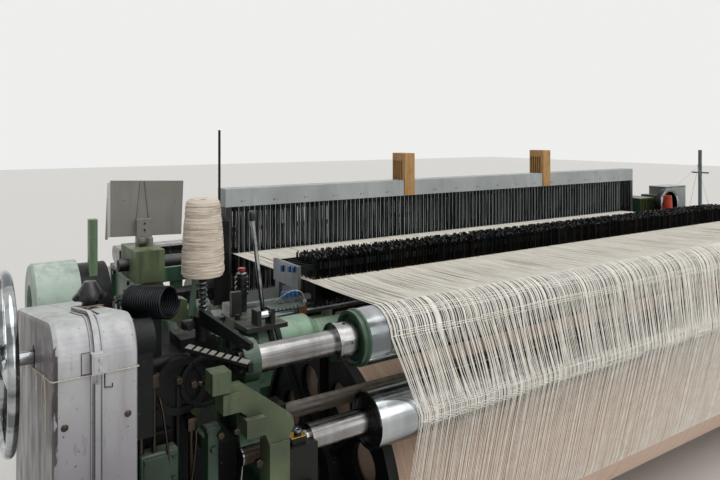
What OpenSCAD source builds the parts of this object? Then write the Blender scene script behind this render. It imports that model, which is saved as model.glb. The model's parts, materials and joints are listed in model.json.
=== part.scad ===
// Wide power loom seen from its warp side. X runs along the weaving width, Y from the warp beam to the cloth.

/* [Warp] */
// Width of the sheet of warp yarns on the beam
warp_w = 2624; // [2300:8:2900]
// How much wider the sheet is over the upper back roller
top_more = 144; // [80:4:150]
// How much wider the sheet is at the reed
reed_more = 48; // [0:4:52]
// Groups of yarns across the sheet
yarn_groups = 110; // [60:1:118]
// Clear slot between two groups
slot_w = 3.2; // [2.6:0.1:4.5]
// Thickness of the sheet and of the cloth
sheet_t = 2; // [1:0.5:2.5]
// Radius of the warp wound on the beam
warp_r = 372; // [330:1:374]
// Height of the warp at the edge of the cloth
fell_z = 1087; // [1080:1:1095]

/* [Warp beam] */
// Radius of the beam flanges
flange_r = 390; // [380:1:392]
// Thickness of a flange plate
flange_t = 18; // [12:1:24]
// Radius of the beam's barrel
barrel_r = 85; // [60:1:120]
// Radius of the beam's journals
journal_r = 45; // [35:1:50]
// Teeth of the beam gear
gear_teeth = 72; // [60:1:76]
// Teeth of the let-off pinion
pinion_teeth = 14; // [12:1:18]
// Gear module
gear_m = 6; // [5:0.5:6]

/* [Rollers] */
// Radius of the two chrome back rest rollers
roller_r = 75; // [65:1:78]
// Radius of the shafts that carry them
shaft_r = 31.5; // [25:0.5:34]
// How far the upper roller runs past the warp
upper_over = 77; // [48:1:98]
// How far the lower roller runs past the warp
lower_over = 114; // [100:1:140]
// Radius of the back rest tube between its housings
tube_r = 40; // [30:1:44]
// Radius of the tube's wide ends
tube_end_r = 62; // [55:1:66]
// Radius of the plain tube behind the rollers
rear_tube_r = 21; // [15:1:22]

/* [Frame] */
// Clear width from the warp's edge to a side frame
side_gap = 303; // [290:1:330]
// Thickness of a side frame's rim
frame_t = 60; // [50:1:70]
// Thickness of a side frame's web
web_t = 24; // [14:1:36]
// Width of a side frame's rim
rim_w = 20; // [12:1:26]
// Height of the frame's underside above the floor
foot_h = 40; // [30:1:60]
// Height of a side frame's top rail
frame_top = 980; // [960:1:990]
// Radius of an anchor hole in a foot
anchor_r = 9; // [6:0.5:12]

/* [Harness] */
// Heald frames
frame_count = 6; // [6:1:6]
// Step from one heald frame to the next
frame_step = 16; // [14:0.5:18]
// Thickness of a heald frame
frame_y = 10; // [8:0.5:11]
// Height of a heald frame's rail
rail_h = 75; // [60:1:80]
// Top of the heald frames at rest
rail_top = 1371; // [1350:1:1390]
// Underside of the heald frames at rest
rail_bottom = 860; // [845:1:880]
// Length of a heald frame beyond the width of the sheet
harness_more = 149; // [102:1:162]
// Offset of the harness towards the weft side
harness_off = 40; // [20:1:60]
// Half travel of a heald frame
shed_half = 45; // [20:1:45]
// Width of a heald wire
heald_w = 1.6; // [1.2:0.1:2]

/* [Warp stop] */
// Rows of drop wires
drop_rows = 6; // [4:2:6]
// Step between rows
drop_step = 26; // [22:1:28]
// Length of a drop wire
drop_len = 158; // [140:1:165]
// Top of the drop wires
drop_top = 1201; // [1190:1:1210]

/* [Sley and cloth] */
// Radius of the take-up roller
take_r = 90; // [80:1:96]
// Radius of the press roller
press_r = 40; // [34:1:46]
// Radius of the wound cloth
cloth_r = 160; // [120:1:180]
// Height of the reed above the sley
reed_h = 140; // [130:1:160]

/* [Drive and guard] */
// Width of the drive guard
guard_w = 144; // [130:1:150]
// Depth of the drive guard
guard_d = 633; // [600:1:640]
// Height of the guard at its front
guard_h = 1260; // [1245:1:1290]
// Fall of the guard's top from front to back
guard_fall = 100; // [80:1:110]
// Radius of the guard's front top edge
guard_edge_r = 66; // [50:1:75]
// Thickness of the guard's sheet metal
guard_wall = 2; // [1.5:0.1:3]
// Radius of the handwheel to the middle of its rim
wheel_r = 172; // [160:1:180]
// Radius of the handwheel's rim tube
wheel_tube_r = 10; // [8:1:12]

/* [Yarn parts] */
// Height of the yarn cone
cone_h = 186; // [175:1:200]
// Radius of the yarn cone at its foot
cone_r = 53.5; // [48:0.5:58]
// Outer radius of the long tension spring
spring_r = 39; // [34:0.5:40]
// Length of the spring
spring_len = 118; // [100:1:125]
// Turns of the spring
spring_turns = 14; // [10:1:16]

/* [Hidden] */
$fn = 64;

// Clearances
seat = 0.3;
run = 0.05;
lay = 0.3;
eps = 0.01;

// Front of the drive guard, and how far the other side reaches to put the box over the origin
guard_y0 = -1050;
front_reach = -(guard_y0 - 20);

// Places along X
half_w = warp_w / 2;
frame_in = half_w + side_gap;
frame_out = frame_in + frame_t;
pitch = warp_w / yarn_groups;
strip_w = pitch - slot_w;
sheet_w = warp_w - slot_w;
slot_x = [for (i = [1 : yarn_groups - 1]) -half_w + i * pitch];
// How wide the sheet is against its width on the beam
top_k = 1 + top_more / warp_w;
reed_k = 1 + reed_more / warp_w;
reed_x = reed_k * slot_x;
flange_x = half_w + 8;
top_half = half_w + top_more / 2;
upper_end = top_half + upper_over;
lower_end = half_w + lower_over;
lever_x0 = frame_out + 60;
lever_t = 40;
upper_shaft_end = lever_x0 + lever_t + 5;
lower_shaft_end = frame_out + 103;
harness_len = warp_w + reed_more + harness_more;
harness_x0 = harness_off - harness_len / 2;
harness_x1 = harness_off + harness_len / 2;

// Axes as [y, z]
beam_c = [-500, 551];
lower_c = [-870, 851];
upper_c = [-847, 1064];
tube_c = [-550, 993];
rear_tube_c = [-760, 875];
sley_c = [470, 740];
take_c = [830, 800];
press_c = take_c + (take_r + press_r + sheet_t + 2 * lay + 0.4) * [cos(150), sin(150)];
nose_r = 35;
nose_c = [take_c[0] + take_r - nose_r, 1039];
cloth_c = [press_c[0] - press_r + cloth_r, 350];
fell_y = 590;
pinion_a = -30;
pinion_c = beam_c + (gear_m * (gear_teeth + pinion_teeth) / 2 + 1) * [cos(pinion_a), sin(pinion_a)];

// Outline of a side frame
tube_boss_r = 74;
base_top = 150;
front_y = 960;
rear_y = -800;
arm_y = -940;
arm_z = 740;
spar_y = -40;
spar_z = 430;

// Directions of the three straight runs of the warp
run_a = atan((fell_z - upper_c[1] - roller_r) / (fell_y - upper_c[0]));
rise_d = upper_c - lower_c;
rise_a = atan2(rise_d[1], rise_d[0]);
feed_d = lower_c - beam_c;
feed_a = atan2(feed_d[1], feed_d[0]) - asin((warp_r - roller_r) / norm(feed_d));
feed_len = sqrt(pow(norm(feed_d), 2) - pow(warp_r - roller_r, 2));
run_len = (fell_y - upper_c[0] + (roller_r + lay) * sin(run_a)) / cos(run_a);

// Colours
green = [0.28, 0.42, 0.31];
pale_green = [0.55, 0.68, 0.55];
dark_green = [0.08, 0.25, 0.16];
steel = [0.62, 0.62, 0.62];
chrome = [0.8, 0.8, 0.82];
iron = [0.16, 0.17, 0.17];
black = [0.07, 0.07, 0.08];
cream = [0.85, 0.80, 0.68];
grey_paint = [0.66, 0.65, 0.68];
alu = [0.72, 0.72, 0.7];

// Draws 2D children, given as Y and Z, along X
module along_x(x0, len) translate([x0, 0, 0]) rotate([90, 0, 90]) linear_extrude(len) children();
// A rod along X
module rod_x(x0, len, c, r) translate([x0, c[0], c[1]]) rotate([0, 90, 0]) cylinder(r = r, h = len);
// A rod along Y
module rod_y(p, len, r) translate(p) rotate([-90, 0, 0]) cylinder(r = r, h = len);
// A box from its lowest corner and size
module box(p, s) translate(p) cube(s);
module both_sides() {
  children();
  mirror([1, 0, 0]) children();
}
// Points round an arc from a0 to a1, on tangents of a circle
function wrap(c, r, a0, a1, n) = let (d = (a1 - a0) / n) concat(
  [c + r * [cos(a0), sin(a0)]],
  [for (i = [0 : n - 1]) c + r / cos(d / 2) * [cos(a0 + (i + 0.5) * d), sin(a0 + (i + 0.5) * d)]],
  [c + r * [cos(a1), sin(a1)]]);
function reversed(v) = [for (i = [len(v) - 1 : -1 : 0]) v[i]];
// Strips joined by a bar; a station is a distance along them and how wide the sheet is there
module fan(bar, stations) {
  function line(x, first) = [for (i = [first : len(stations) - 1]) [x * stations[i][1], stations[i][0]]];
  edge = sheet_w / 2;
  polygon(concat(
    [[-edge * stations[0][1], stations[0][0] - bar], [edge * stations[0][1], stations[0][0] - bar]],
    [for (i = [yarn_groups - 1 : -1 : 0]) each concat(
      line(-edge + i * pitch + strip_w, i == yarn_groups - 1 ? 1 : 0),
      reversed(line(-edge + i * pitch, i == 0 ? 1 : 0)))]));
}
module ring(r_out, r_in) difference() {
  circle(r_out);
  circle(r_in);
}

/* Side frames and cross members */
module frame_outline() {
  offset(r = -30) offset(delta = 30) {
    translate([rear_y, foot_h]) square([front_y - rear_y, base_top - foot_h]);
    translate([rear_y, foot_h]) square([140, arm_z - foot_h]);
    translate([arm_y, arm_z - 100]) square([-arm_y - 500, 100]);
    translate([-620, foot_h]) square([170, frame_top - foot_h]);
    translate([spar_y - 20, foot_h]) square([180, frame_top - foot_h]);
    translate([400, foot_h]) square([140, frame_top - foot_h]);
    translate([760, foot_h]) square([front_y - 760, frame_top - foot_h]);
    translate([-560, frame_top - 100]) square([front_y + 560, 100]);
    translate([press_c[0] - 55, press_c[1] - 60]) square([120, 60]);
    for (c = [[tube_c, tube_boss_r], [beam_c, 105]]) translate(c[0]) circle(c[1], $fn = 40);
  }
}
module side_frame() {
  difference() {
    union() {
      along_x(frame_in + (frame_t - web_t) / 2, web_t) frame_outline();
      along_x(frame_in, frame_t) difference() {
        frame_outline();
        offset(delta = -rim_w) frame_outline();
      }
      for (b = [[tube_c, 72], [beam_c, 80], [sley_c, 55], [take_c, 50], [press_c, 34], [cloth_c, 50]])
        rod_x(frame_in, frame_t, b[0], b[1]);
      box([frame_in, spar_y - 10, spar_z - 10], [frame_t, 160, 230]);
      box([frame_in, arm_y + 15, arm_z - 85], [frame_t, 110, 70]);
    }
    for (b = [[tube_c, tube_end_r + run], [beam_c, journal_r + run], [sley_c, 30 + run],
              [take_c, 25 + run], [press_c, 15 + run], [cloth_c, 25 + run]])
      rod_x(frame_in - 1, frame_t + 2, b[0], b[1]);
  }
}
module left_frame() color(green) mirror([1, 0, 0]) side_frame();
module right_frame() color(green) side_frame();

module main_spar() color(green) along_x(-frame_in, 2 * frame_in) difference() {
  translate([spar_y, spar_z]) square([140, 210]);
  translate([spar_y + 12, spar_z + 12]) square([116, 186]);
}

module rear_tube() color([0.36, 0.33, 0.28]) difference() {
  rod_x(-frame_in - 30, 2 * (frame_in + 30), rear_tube_c, rear_tube_r);
  rod_x(-frame_in - 31, 2 * (frame_in + 31), rear_tube_c, rear_tube_r - 4);
}

module rear_tube_hanger() difference() {
  box([frame_in + 4, rear_tube_c[0] - 30, arm_z], [44, 60, rear_tube_c[1] - arm_z + 34]);
  rod_x(frame_in - 1, frame_t, rear_tube_c, rear_tube_r + run);
}

// Front cross member with the smooth steel nose that the cloth runs over, and the rail in front of it
rail_r = 12;
module breast_beam() color(steel) {
  rod_x(-frame_in - 20, 2 * (frame_in + 20), [front_reach - rail_r - 6, 920], rail_r);
  both_sides() box([frame_in + 10, front_y, 896], [frame_t - 20, front_reach - front_y, 48]);
  along_x(-frame_in - frame_t, 2 * (frame_in + frame_t)) {
    translate([nose_c[0] - 105, frame_top]) square([100, 60]);
    hull() {
      translate(nose_c) circle(nose_r, $fn = 40);
      translate([nose_c[0] - 100, nose_c[1] + nose_r - 10]) circle(10, $fn = 24);
      translate([nose_c[0] - 100, nose_c[1] - 15]) circle(10, $fn = 24);
    }
  }
}

foot_y = [rear_y + 70, 150, front_y - 80];
module foot_pad() difference() {
  union() {
    box([-75, -55, 0], [150, 110, 18]);
    translate([0, 0, 18 - eps]) cylinder(r1 = 42, r2 = 26, h = foot_h - 18 + eps);
  }
  for (s = [-1, 1]) translate([s * 57, 0, -1]) cylinder(r = anchor_r, h = 20);
}
module feet() color(iron) {
  both_sides() {
    for (y = foot_y) translate([frame_in + frame_t / 2, y, 0]) foot_pad();
    for (y = [case_y0 + 90, case_y1 - 90]) translate([case_x0 + 86, y, 0]) foot_pad();
  }
}

/* Back rest: two chrome rollers, the tube and its levers */
end_r = 20;
pedestal_x = frame_in - 15;
module pedestal() difference() {
  union() {
    box([pedestal_x, lower_c[0] - 50, arm_z], [90, 100, lower_c[1] + 10 - arm_z]);
    box([pedestal_x + 10, lower_c[0] - 75, arm_z], [70, 150, 26]);
  }
  rod_x(pedestal_x - 5, 100, lower_c, end_r + run);
  box([pedestal_x - 5, lower_c[0] - end_r - run, lower_c[1]], [100, 2 * (end_r + run), 30]);
}
cap_z = lower_c[1] + end_r + 1;
module cap() {
  box([frame_in + 10, lower_c[0] - 42, cap_z], [40, 84, 8]);
  for (s = [-1, 1]) {
    box([frame_in + 12, lower_c[0] + s * 33 - 8, lower_c[1] + 10], [36, 16, cap_z - lower_c[1] - 10]);
    translate([frame_in + 30, lower_c[0] + s * 31, cap_z + 8]) cylinder(r = 9, h = 9);
  }
}

module roller_pedestals() {
  color(black) both_sides() {
    pedestal();
    rear_tube_hanger();
  }
  color([0.3, 0.27, 0.2]) both_sides() cap();
}

module lower_shaft() color(steel) {
  rod_x(-pedestal_x + seat, 2 * (pedestal_x - seat), lower_c, shaft_r);
  both_sides() rod_x(pedestal_x - 1, lower_shaft_end - pedestal_x + 1, lower_c, end_r);
}

// A turned tube with a plate set back in each end
module tube_roller(c, half, r, wall, setback, plate, bore) difference() {
  rod_x(-half, 2 * half, c, r);
  rod_x(-half + setback + plate, 2 * (half - setback - plate), c, r - wall);
  for (s = [-1, 1]) translate([s * (half - setback / 2 + 0.5), 0, 0])
    rod_x(-setback / 2 - 0.5, setback + 1, c, r - wall);
  rod_x(-half - 1, 2 * half + 2, c, bore);
}
module lower_roller() color(chrome) tube_roller(lower_c, lower_end, roller_r, 6, 12, 16, shaft_r + run);

cap_t = 20;
module upper_roller() color(chrome)
  tube_roller(upper_c, upper_end - cap_t, roller_r, 6, 0.1, 16, shaft_r + run);
module roller_end_caps() color(dark_green) both_sides() translate([upper_end - cap_t, upper_c[0], upper_c[1]])
  rotate([0, 90, 0]) rotate_extrude() polygon([
    [shaft_r + run, 0], [roller_r, 0], [roller_r, 6], [roller_r - 4, 10], [roller_r - 4, cap_t],
    [roller_r - 12, cap_t], [roller_r - 16, cap_t - 7], [shaft_r + 18, cap_t - 7], [shaft_r + run, cap_t - 7]]);

collar_r = 46;
module upper_shaft() {
  color(steel) rod_x(-upper_shaft_end, 2 * upper_shaft_end, upper_c, shaft_r);
  color(steel) both_sides() difference() {
    rod_x(upper_end + 1, 46, upper_c, collar_r);
    rod_x(upper_end, 50, upper_c, shaft_r + run);
    translate([upper_end + 24, upper_c[0] - collar_r, upper_c[1] + 6]) rotate([-90, 0, 0])
      translate([0, 0, -2]) cylinder(r = 4, h = 10);
  }
  color(black) both_sides() difference() {
    rod_x(upper_end + 47 + seat, 9, upper_c, collar_r + 3);
    rod_x(upper_end + 46, 12, upper_c, shaft_r + run);
  }
}

wide_in = frame_in - 177;
swell_x = 34;
module back_rest_tube() color(pale_green) {
  difference() {
    rod_x(swell_x + seat - wide_in, 2 * (wide_in - swell_x - seat), tube_c, tube_r);
    rod_x(-wide_in, 2 * wide_in, tube_c, tube_r - 8);
  }
  both_sides() difference() {
    union() {
      translate([wide_in - swell_x, tube_c[0], tube_c[1]]) rotate([0, 90, 0])
        cylinder(r1 = tube_r, r2 = tube_end_r, h = swell_x);
      rod_x(wide_in - eps, frame_out + 28 - wide_in + eps, tube_c, tube_end_r);
      rod_x(frame_out, 112, tube_c, tube_r);
    }
    rod_x(wide_in - 2 * swell_x, frame_out + 113 - wide_in + 2 * swell_x, tube_c, tube_r - 8);
  }
}

module lever_arm() difference() {
  along_x(lever_x0, lever_t) {
    hull() {
      translate(tube_c) circle(64, $fn = 40);
      translate(upper_c) circle(50, $fn = 40);
    }
    hull() {
      translate(tube_c) circle(34, $fn = 24);
      translate(tube_c + [10, 128]) circle(22, $fn = 24);
    }
  }
  rod_x(lever_x0 - 1, lever_t + 2, tube_c, tube_r + run);
  rod_x(lever_x0 - 1, lever_t + 2, upper_c, shaft_r + run);
  for (s = [0, 1]) along_x(lever_x0 - 1 + s * (lever_t - 9), 10) hull() {
    translate(tube_c + [-92, 26]) circle(24, $fn = 24);
    translate(upper_c + [76, -20]) circle(20, $fn = 24);
  }
}
module back_rest_levers() color(pale_green) {
  both_sides() lever_arm();
}

// Clamp rings on the tube, and the black stay and notched bar at the left end of the upper shaft
stay_from = [-lever_x0 - 101, -780, 1170];
stay_to = [-lever_x0 - 41, -922, 1116];
module bar_between(p, q, w, h) {
  d = q - p;
  translate(p) rotate([0, 0, atan2(d[1], d[0])]) rotate([0, -atan2(d[2], norm([d[0], d[1]])), 0])
    translate([0, -w / 2, -h / 2]) cube([norm(d), w, h]);
}
module lever_fittings() color(iron) {
  both_sides() for (x = [frame_in - 72, frame_in - 50]) difference() {
    rod_x(x, 14, tube_c, tube_end_r + 8);
    rod_x(x - 1, 16, tube_c, tube_end_r + run);
  }
  d = stay_to - stay_from;
  difference() {
    union() {
      translate(stay_from) rotate([90, 0, atan2(d[1], d[0])]) translate([0, 0, -5]) linear_extrude(10)
        polygon([[-6, 12], [-6, -26], [60, -40], [150, -58], [160, -52], [160, -40]]);
      box([-lever_x0 - lever_t - 24, upper_c[0] - 12, upper_c[1] + 38], [23.7, 24, 36]);
    }
    rod_x(-lever_x0 - lever_t - 60, 60, upper_c, shaft_r + seat);
  }
  notch_from = [-lever_x0 - 157, -834, 1116];
  notch_to = [-lever_x0 - 48, -930, 1086];
  difference() {
    bar_between(notch_from, notch_to, 26, 7);
    for (t = [0.12 : 0.12 : 0.86]) translate(notch_from + t * (notch_to - notch_from)) rotate([0, 0, -41])
      box([-2.5, -3, -20], [5, 30, 40]);
  }
  box([-lever_x0 - lever_t - 12, -938, 1068], [11.7, 50, 22]);
}

/* Warp beam and let-off */
module beam_barrel() color(iron) {
  rod_x(-flange_x, 2 * flange_x, beam_c, barrel_r);
  both_sides() rod_x(flange_x - eps, frame_out + 10 - flange_x, beam_c, journal_r);
}
module flange() {
  translate([flange_x, beam_c[0], beam_c[1]]) rotate([0, 90, 0]) difference() {
    union() {
      cylinder(r = flange_r, h = flange_t);
      difference() {
        cylinder(r = flange_r, h = flange_t + 14);
        translate([0, 0, -1]) cylinder(r = flange_r - 16, h = flange_t + 20);
      }
      cylinder(r = 100, h = flange_t + 40);
      for (a = [0 : 45 : 315]) rotate(a) box([70, -7, 0], [flange_r - 78, 14, flange_t + 20]);
    }
    translate([0, 0, -1]) cylinder(r = journal_r + run, h = flange_t + 50);
    for (a = [22.5 : 45 : 337.5]) rotate(a) translate([245, 0, -1]) cylinder(r = 60, h = flange_t + 60);
  }
}
module beam_flanges() color(iron) both_sides() flange();
module warp_roll() color(cream) difference() {
  rod_x(-flange_x, 2 * flange_x, beam_c, warp_r);
  rod_x(-flange_x - 1, 2 * flange_x + 2, beam_c, barrel_r + run);
}
// Straight-sided teeth round a wheel
module toothed(teeth, m, bite) {
  pr = m * teeth / 2;
  a = 360 / teeth;
  polygon([for (i = [0 : teeth - 1]) each [
    for (p = [[-0.34, -1.15], [-0.13, bite], [0.13, bite], [0.34, -1.15]])
      (pr + p[1] * m) * [cos((i + p[0]) * a), sin((i + p[0]) * a)]]]);
}
gear_x = -(frame_in - 62);
gear_w = 36;
module beam_gear() color(iron) difference() {
  translate([gear_x, beam_c[0], beam_c[1]]) rotate([90, 0, 90]) linear_extrude(gear_w)
    rotate(pinion_a) toothed(gear_teeth, gear_m, 0.6);
  rod_x(gear_x - 1, gear_w + 2, beam_c, journal_r + run);
  for (s = [0, 1]) translate([gear_x - 1 + s * (gear_w - 9), 0, 0]) difference() {
    rod_x(0, 11, beam_c, 180);
    rod_x(-1, 13, beam_c, 80);
  }
}
module letoff_pinion() color(steel) {
  translate([gear_x, pinion_c[0], pinion_c[1]]) rotate([90, 0, 90]) linear_extrude(gear_w)
    rotate(pinion_a + 180 + 180 / pinion_teeth) toothed(pinion_teeth, gear_m, 0.6);
  rod_x(gear_x - 26, gear_w + 60, pinion_c, 14);
}
module letoff_case() color(green) {
  difference() {
    box([gear_x + gear_w + 6, pinion_c[0] - 60, pinion_c[1] - 75], [110, 120, 150]);
    rod_x(gear_x + gear_w - 1, 60, pinion_c, 14 + run);
  }
  box([-frame_in, pinion_c[0] + 60 - eps, pinion_c[1] - 75], [frame_in + gear_x + gear_w + 116, spar_y - pinion_c[0] - 60 + eps, 150]);
}

/* Warp, warp stop and harness */
lap = 2;
skin = 0.02;
heald_y = [for (i = [0 : frame_count - 1]) 250 + i * frame_step];
fan_len = heald_y[0] - 14 - upper_c[0];
module warp_bend(c, a0, a1, n, k) along_x(-sheet_w * k / 2, sheet_w * k)
  polygon(concat(wrap(c, roller_r + lay, a0, a1, n), reversed(wrap(c, roller_r + lay + sheet_t, a0, a1, n))));
// One straight run of the sheet from a tangent point; its bar starts at from
module warp_run(c, a, r, from, stations) translate([0, c[0], c[1]]) rotate([a, 0, 0])
  translate([0, 0, r + lay + skin]) linear_extrude(sheet_t - 2 * skin) fan(stations[0][0] - from, stations);
module warp_sheet() color(cream) {
  warp_run(beam_c, feed_a, warp_r, 0, [[8, 1], [feed_len + lap, 1]]);
  warp_bend(lower_c, feed_a + 90, rise_a + 90, 3, 1);
  warp_run(lower_c, rise_a, roller_r, -lap, [[8, 1], [norm(rise_d) + lap, top_k]]);
  warp_bend(upper_c, rise_a + 90, run_a + 90, 9, top_k);
  warp_run(upper_c, run_a, roller_r, run, [[20, top_k], [fan_len, reed_k], [run_len, reed_k]]);
}

// How wide the sheet is at a drop wire, part of the way to the harness
function drop_k(y) = top_k + (reed_k - top_k) * (y - upper_c[0]) / fan_len;
drop_y = [for (i = [0 : drop_rows - 1]) -450 + i * drop_step];
stop_x = top_half + 34;
// Drop wires hang in staggered rows, each row on its contact bar
module drop_wires() color(iron) for (i = [0 : drop_rows - 1]) translate([0, drop_y[i], 0]) {
  box([-stop_x + 12, -2, drop_top - 42], [2 * stop_x - 24, 4, 20]);
  for (k = [i % 2 : 2 : yarn_groups - 2])
    box([slot_x[k] * drop_k(drop_y[i]) - 1, -5.5, drop_top - drop_len], [2, 11, drop_len]);
}
stop_y = [drop_y[0] + 10, drop_y[drop_rows - 1] - 6];
stop_z = drop_top - 172;
module stop_end() difference() {
  along_x(stop_x - 12, 12) {
    translate([drop_y[0] - 22, drop_top - 91]) square([drop_y[drop_rows - 1] - drop_y[0] + 44, 71]);
    for (y = stop_y) translate([y - 14, stop_z - 14]) square([28, 100]);
  }
  for (y = stop_y) rod_x(stop_x - 13, 14, [y, stop_z], 10 + run);
}
module stop_rails() color(steel) {
  both_sides() {
    stop_end();
    box([frame_in, -440, frame_top], [40, 120, stop_z + 15 - frame_top]);
    box([frame_in + 10, -475, stop_z + 15 - eps], [20, 60, 46]);
    box([stop_x - 46, -475, stop_z + 47], [frame_in - stop_x + 76, 18, 14]);
  }
  for (y = stop_y) rod_x(-frame_in, 2 * frame_in, [y, stop_z], 10);
}

module heald_frame(i) {
  y = heald_y[i];
  wire_y = y + frame_y / 2;
  color(alu) {
    box([harness_x0 + 24, y, rail_top - rail_h], [harness_len - 48, frame_y, rail_h]);
    box([harness_x0 + 24, y, rail_bottom], [harness_len - 48, frame_y, rail_h]);
  }
  color(iron) for (x = [harness_x0, harness_x1 - 24])
    box([x, y, rail_bottom], [24, frame_y, rail_top - rail_bottom]);
  color(iron) for (x = reed_x)
    box([x - heald_w / 2, wire_y - 1.5, rail_bottom + rail_h], [heald_w, 3, rail_top - rail_bottom - 2 * rail_h]);
  color(steel) for (s = [-1, 1]) translate([harness_off + s * lift_x, wire_y, lift_z0]) cylinder(r = lift_r, h = rail_bottom - lift_z0 + eps);
}
lift_x = 900;
lift_r = 4;
lift_z0 = 500;
lift_beam_z = 560;
module heald_frame_1() heald_frame(0);
module heald_frame_2() heald_frame(1);
module heald_frame_3() heald_frame(2);
module heald_frame_4() heald_frame(3);
module heald_frame_5() heald_frame(4);
module heald_frame_6() heald_frame(5);

guide_z0 = rail_bottom + 40;
guide_z1 = [rail_top - 131, 1064];
module guide_post(z1) difference() {
  box([harness_len / 2 - 8, heald_y[0] - 15, guide_z0], [64, frame_y + (frame_count - 1) * frame_step + 30, z1 - guide_z0]);
  for (y = heald_y) box([harness_len / 2 - 9, y - seat, guide_z0 - 1], [9 + seat, frame_y + 2 * seat, z1 - guide_z0 + 2]);
}
module guide_bracket(len) box([0, heald_y[0] + 5, frame_top - 60], [len, 70, 50]);
module harness_guides() color(iron) {
  translate([harness_off, 0, 0]) {
    mirror([1, 0, 0]) guide_post(guide_z1[0]);
    guide_post(guide_z1[1]);
  }
  translate([-frame_in, 0, 0]) guide_bracket(frame_in + harness_x0 - 56);
  translate([harness_x1 + 56, 0, 0]) guide_bracket(frame_in - harness_x1 - 56);
  translate([harness_x0 - 30, heald_y[0] - 5, guide_z1[0] - eps]) cylinder(r = 5, h = 1616 - guide_z1[0]);
  difference() {
    box([-frame_in, heald_y[0] - 15, lift_beam_z], [2 * frame_in, 235, 40]);
    for (y = heald_y) for (s = [-1, 1]) translate([harness_off + s * lift_x, y + frame_y / 2, lift_beam_z - 1])
      cylinder(r = lift_r + run, h = 42);
  }
}

// Wooden blocks that keep the heald frames apart; they are clamped to the first one
comb_x = [-442, 571];
comb_w = 60;
comb_top = rail_top + 134;
module comb_blocks() color([0.72, 0.5, 0.28]) for (x = comb_x) difference() {
  box([x, heald_y[0] - 7, rail_top - rail_h + 1], [comb_w, frame_y + (frame_count - 1) * frame_step + 14, comb_top - rail_top + rail_h - 1]);
  for (i = [0 : frame_count - 1]) box([x - 1, heald_y[i] - lay, rail_top - rail_h],
    [comb_w + 2, frame_y + 2 * lay, rail_h + (i == 0 ? seat : 2 * shed_half + 6)]);
}

/* Sley, cloth and take-up */
sley_top = 1036;
reed_y = sley_c[0] + 10;
sley_len = frame_in - 30;
module sley() color(green) {
  difference() {
    union() {
      rod_x(-frame_out - 6, 2 * (frame_out + 6), sley_c, 30);
      for (x = [-sley_len + 60 : (2 * sley_len - 156) / 4 : sley_len - 90]) along_x(x, 36) {
        translate(sley_c) circle(52, $fn = 32);
        hull() {
          translate(sley_c) circle(34, $fn = 24);
          translate([sley_c[0] - 24, sley_top - 62]) square([66, 10]);
        }
      }
      along_x(-sley_len, 2 * sley_len) translate([sley_c[0] - 34, sley_top - 60]) square([86, 60]);
    }
    box([-harness_len / 2, reed_y - 6, sley_top - 20], [harness_len, 12, 21]);
  }
}
// The reed's dents stand in the slots between the groups of yarns
module reed() color(steel) {
  box([-half_w * reed_k, reed_y - 5, sley_top - 20], [warp_w * reed_k, 10, 22]);
  box([-half_w * reed_k, reed_y - 5, sley_top + reed_h - 22], [warp_w * reed_k, 10, 22]);
  for (x = reed_x) box([x - 0.7, reed_y - 3, sley_top + 2 - eps], [1.4, 6, reed_h - 24 + 2 * eps]);
}

cloth_w = 0.97 * warp_w;
module cloth() color(cream) along_x(-cloth_w / 2, cloth_w) {
  in_t = take_r + lay;
  in_p = press_r + lay;
  near = concat([[fell_y + seat, fell_z - 0.6]], wrap(nose_c, nose_r + lay, 92, 0, 6), wrap(take_c, in_t, 0, -210, 28),
    wrap(press_c, in_p + sheet_t, -30, 180, 28), [[press_c[0] - in_p - sheet_t, cloth_c[1]]]);
  far = concat([[fell_y + seat, fell_z - 0.6 + sheet_t]], wrap(nose_c, nose_r + lay + sheet_t, 92, 0, 6),
    wrap(take_c, in_t + sheet_t, 0, -210, 28), wrap(press_c, in_p, -30, 180, 28), [[press_c[0] - in_p, cloth_c[1]]]);
  polygon(concat(near, reversed(far)));
}
module axled(c, half, r, ar) {
  rod_x(-half, 2 * half, c, r);
  rod_x(-frame_out - 4, 2 * (frame_out + 4), c, ar);
}
module take_up_roller() color([0.55, 0.56, 0.58]) axled(take_c, half_w + 20, take_r, 25);
module press_roller() color(iron) axled(press_c, half_w + 20, press_r, 15);
module cloth_roll() color(cream) axled(cloth_c, cloth_w / 2, cloth_r - seat, 25);
temple_z = fell_z + sheet_t;
module temples() color(steel) both_sides() {
  along_x(half_w - 190, 150) hull() {
    translate([fell_y + 44, temple_z + 14]) circle(10, $fn = 24);
    translate([fell_y + 74, temple_z + 14]) circle(10, $fn = 24);
  }
  box([half_w - 30, fell_y + 30, 1000], [26, 60, temple_z + 24 - 1000]);
  box([half_w - 40, fell_y + 30, temple_z + 4], [12, 60, 20]);
  box([half_w - 30, fell_y + 30, frame_top - 14], [frame_in - half_w + 30, 60, 34]);
}

/* Drive guard, gear case and motor */
case_x0 = frame_out + 183;
case_x1 = frame_out + 355;
case_y0 = -760;
case_y1 = -130;
drum_c = [-250, 1109];
case_top = 1080;
guard_x0 = case_x1 + 23;
wheel_c = [-790, guard_h - 118];
wheel_shaft_r = 14;
spring_c = [122 - case_x1, -772, 1207];
spring_yaw = 36;
shaft_c = [-668, 760];
motor_c = [-900, 300];
guard_z0 = 80;
guard_slope = atan(guard_fall / guard_d);
guard_mid = guard_x0 + guard_w / 2;
module guard_profile(in) hull() {
  for (p = [[0, guard_h, guard_edge_r], [guard_d, guard_h - guard_fall, 26], [0, guard_z0, 20], [guard_d, guard_z0, 20]])
    translate([guard_y0 + (p[0] == 0 ? p[2] : p[0] - p[2]), p[1] + (p[1] == guard_z0 ? p[2] : -p[2])])
      circle(p[2] - in, $fn = 40);
}
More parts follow.
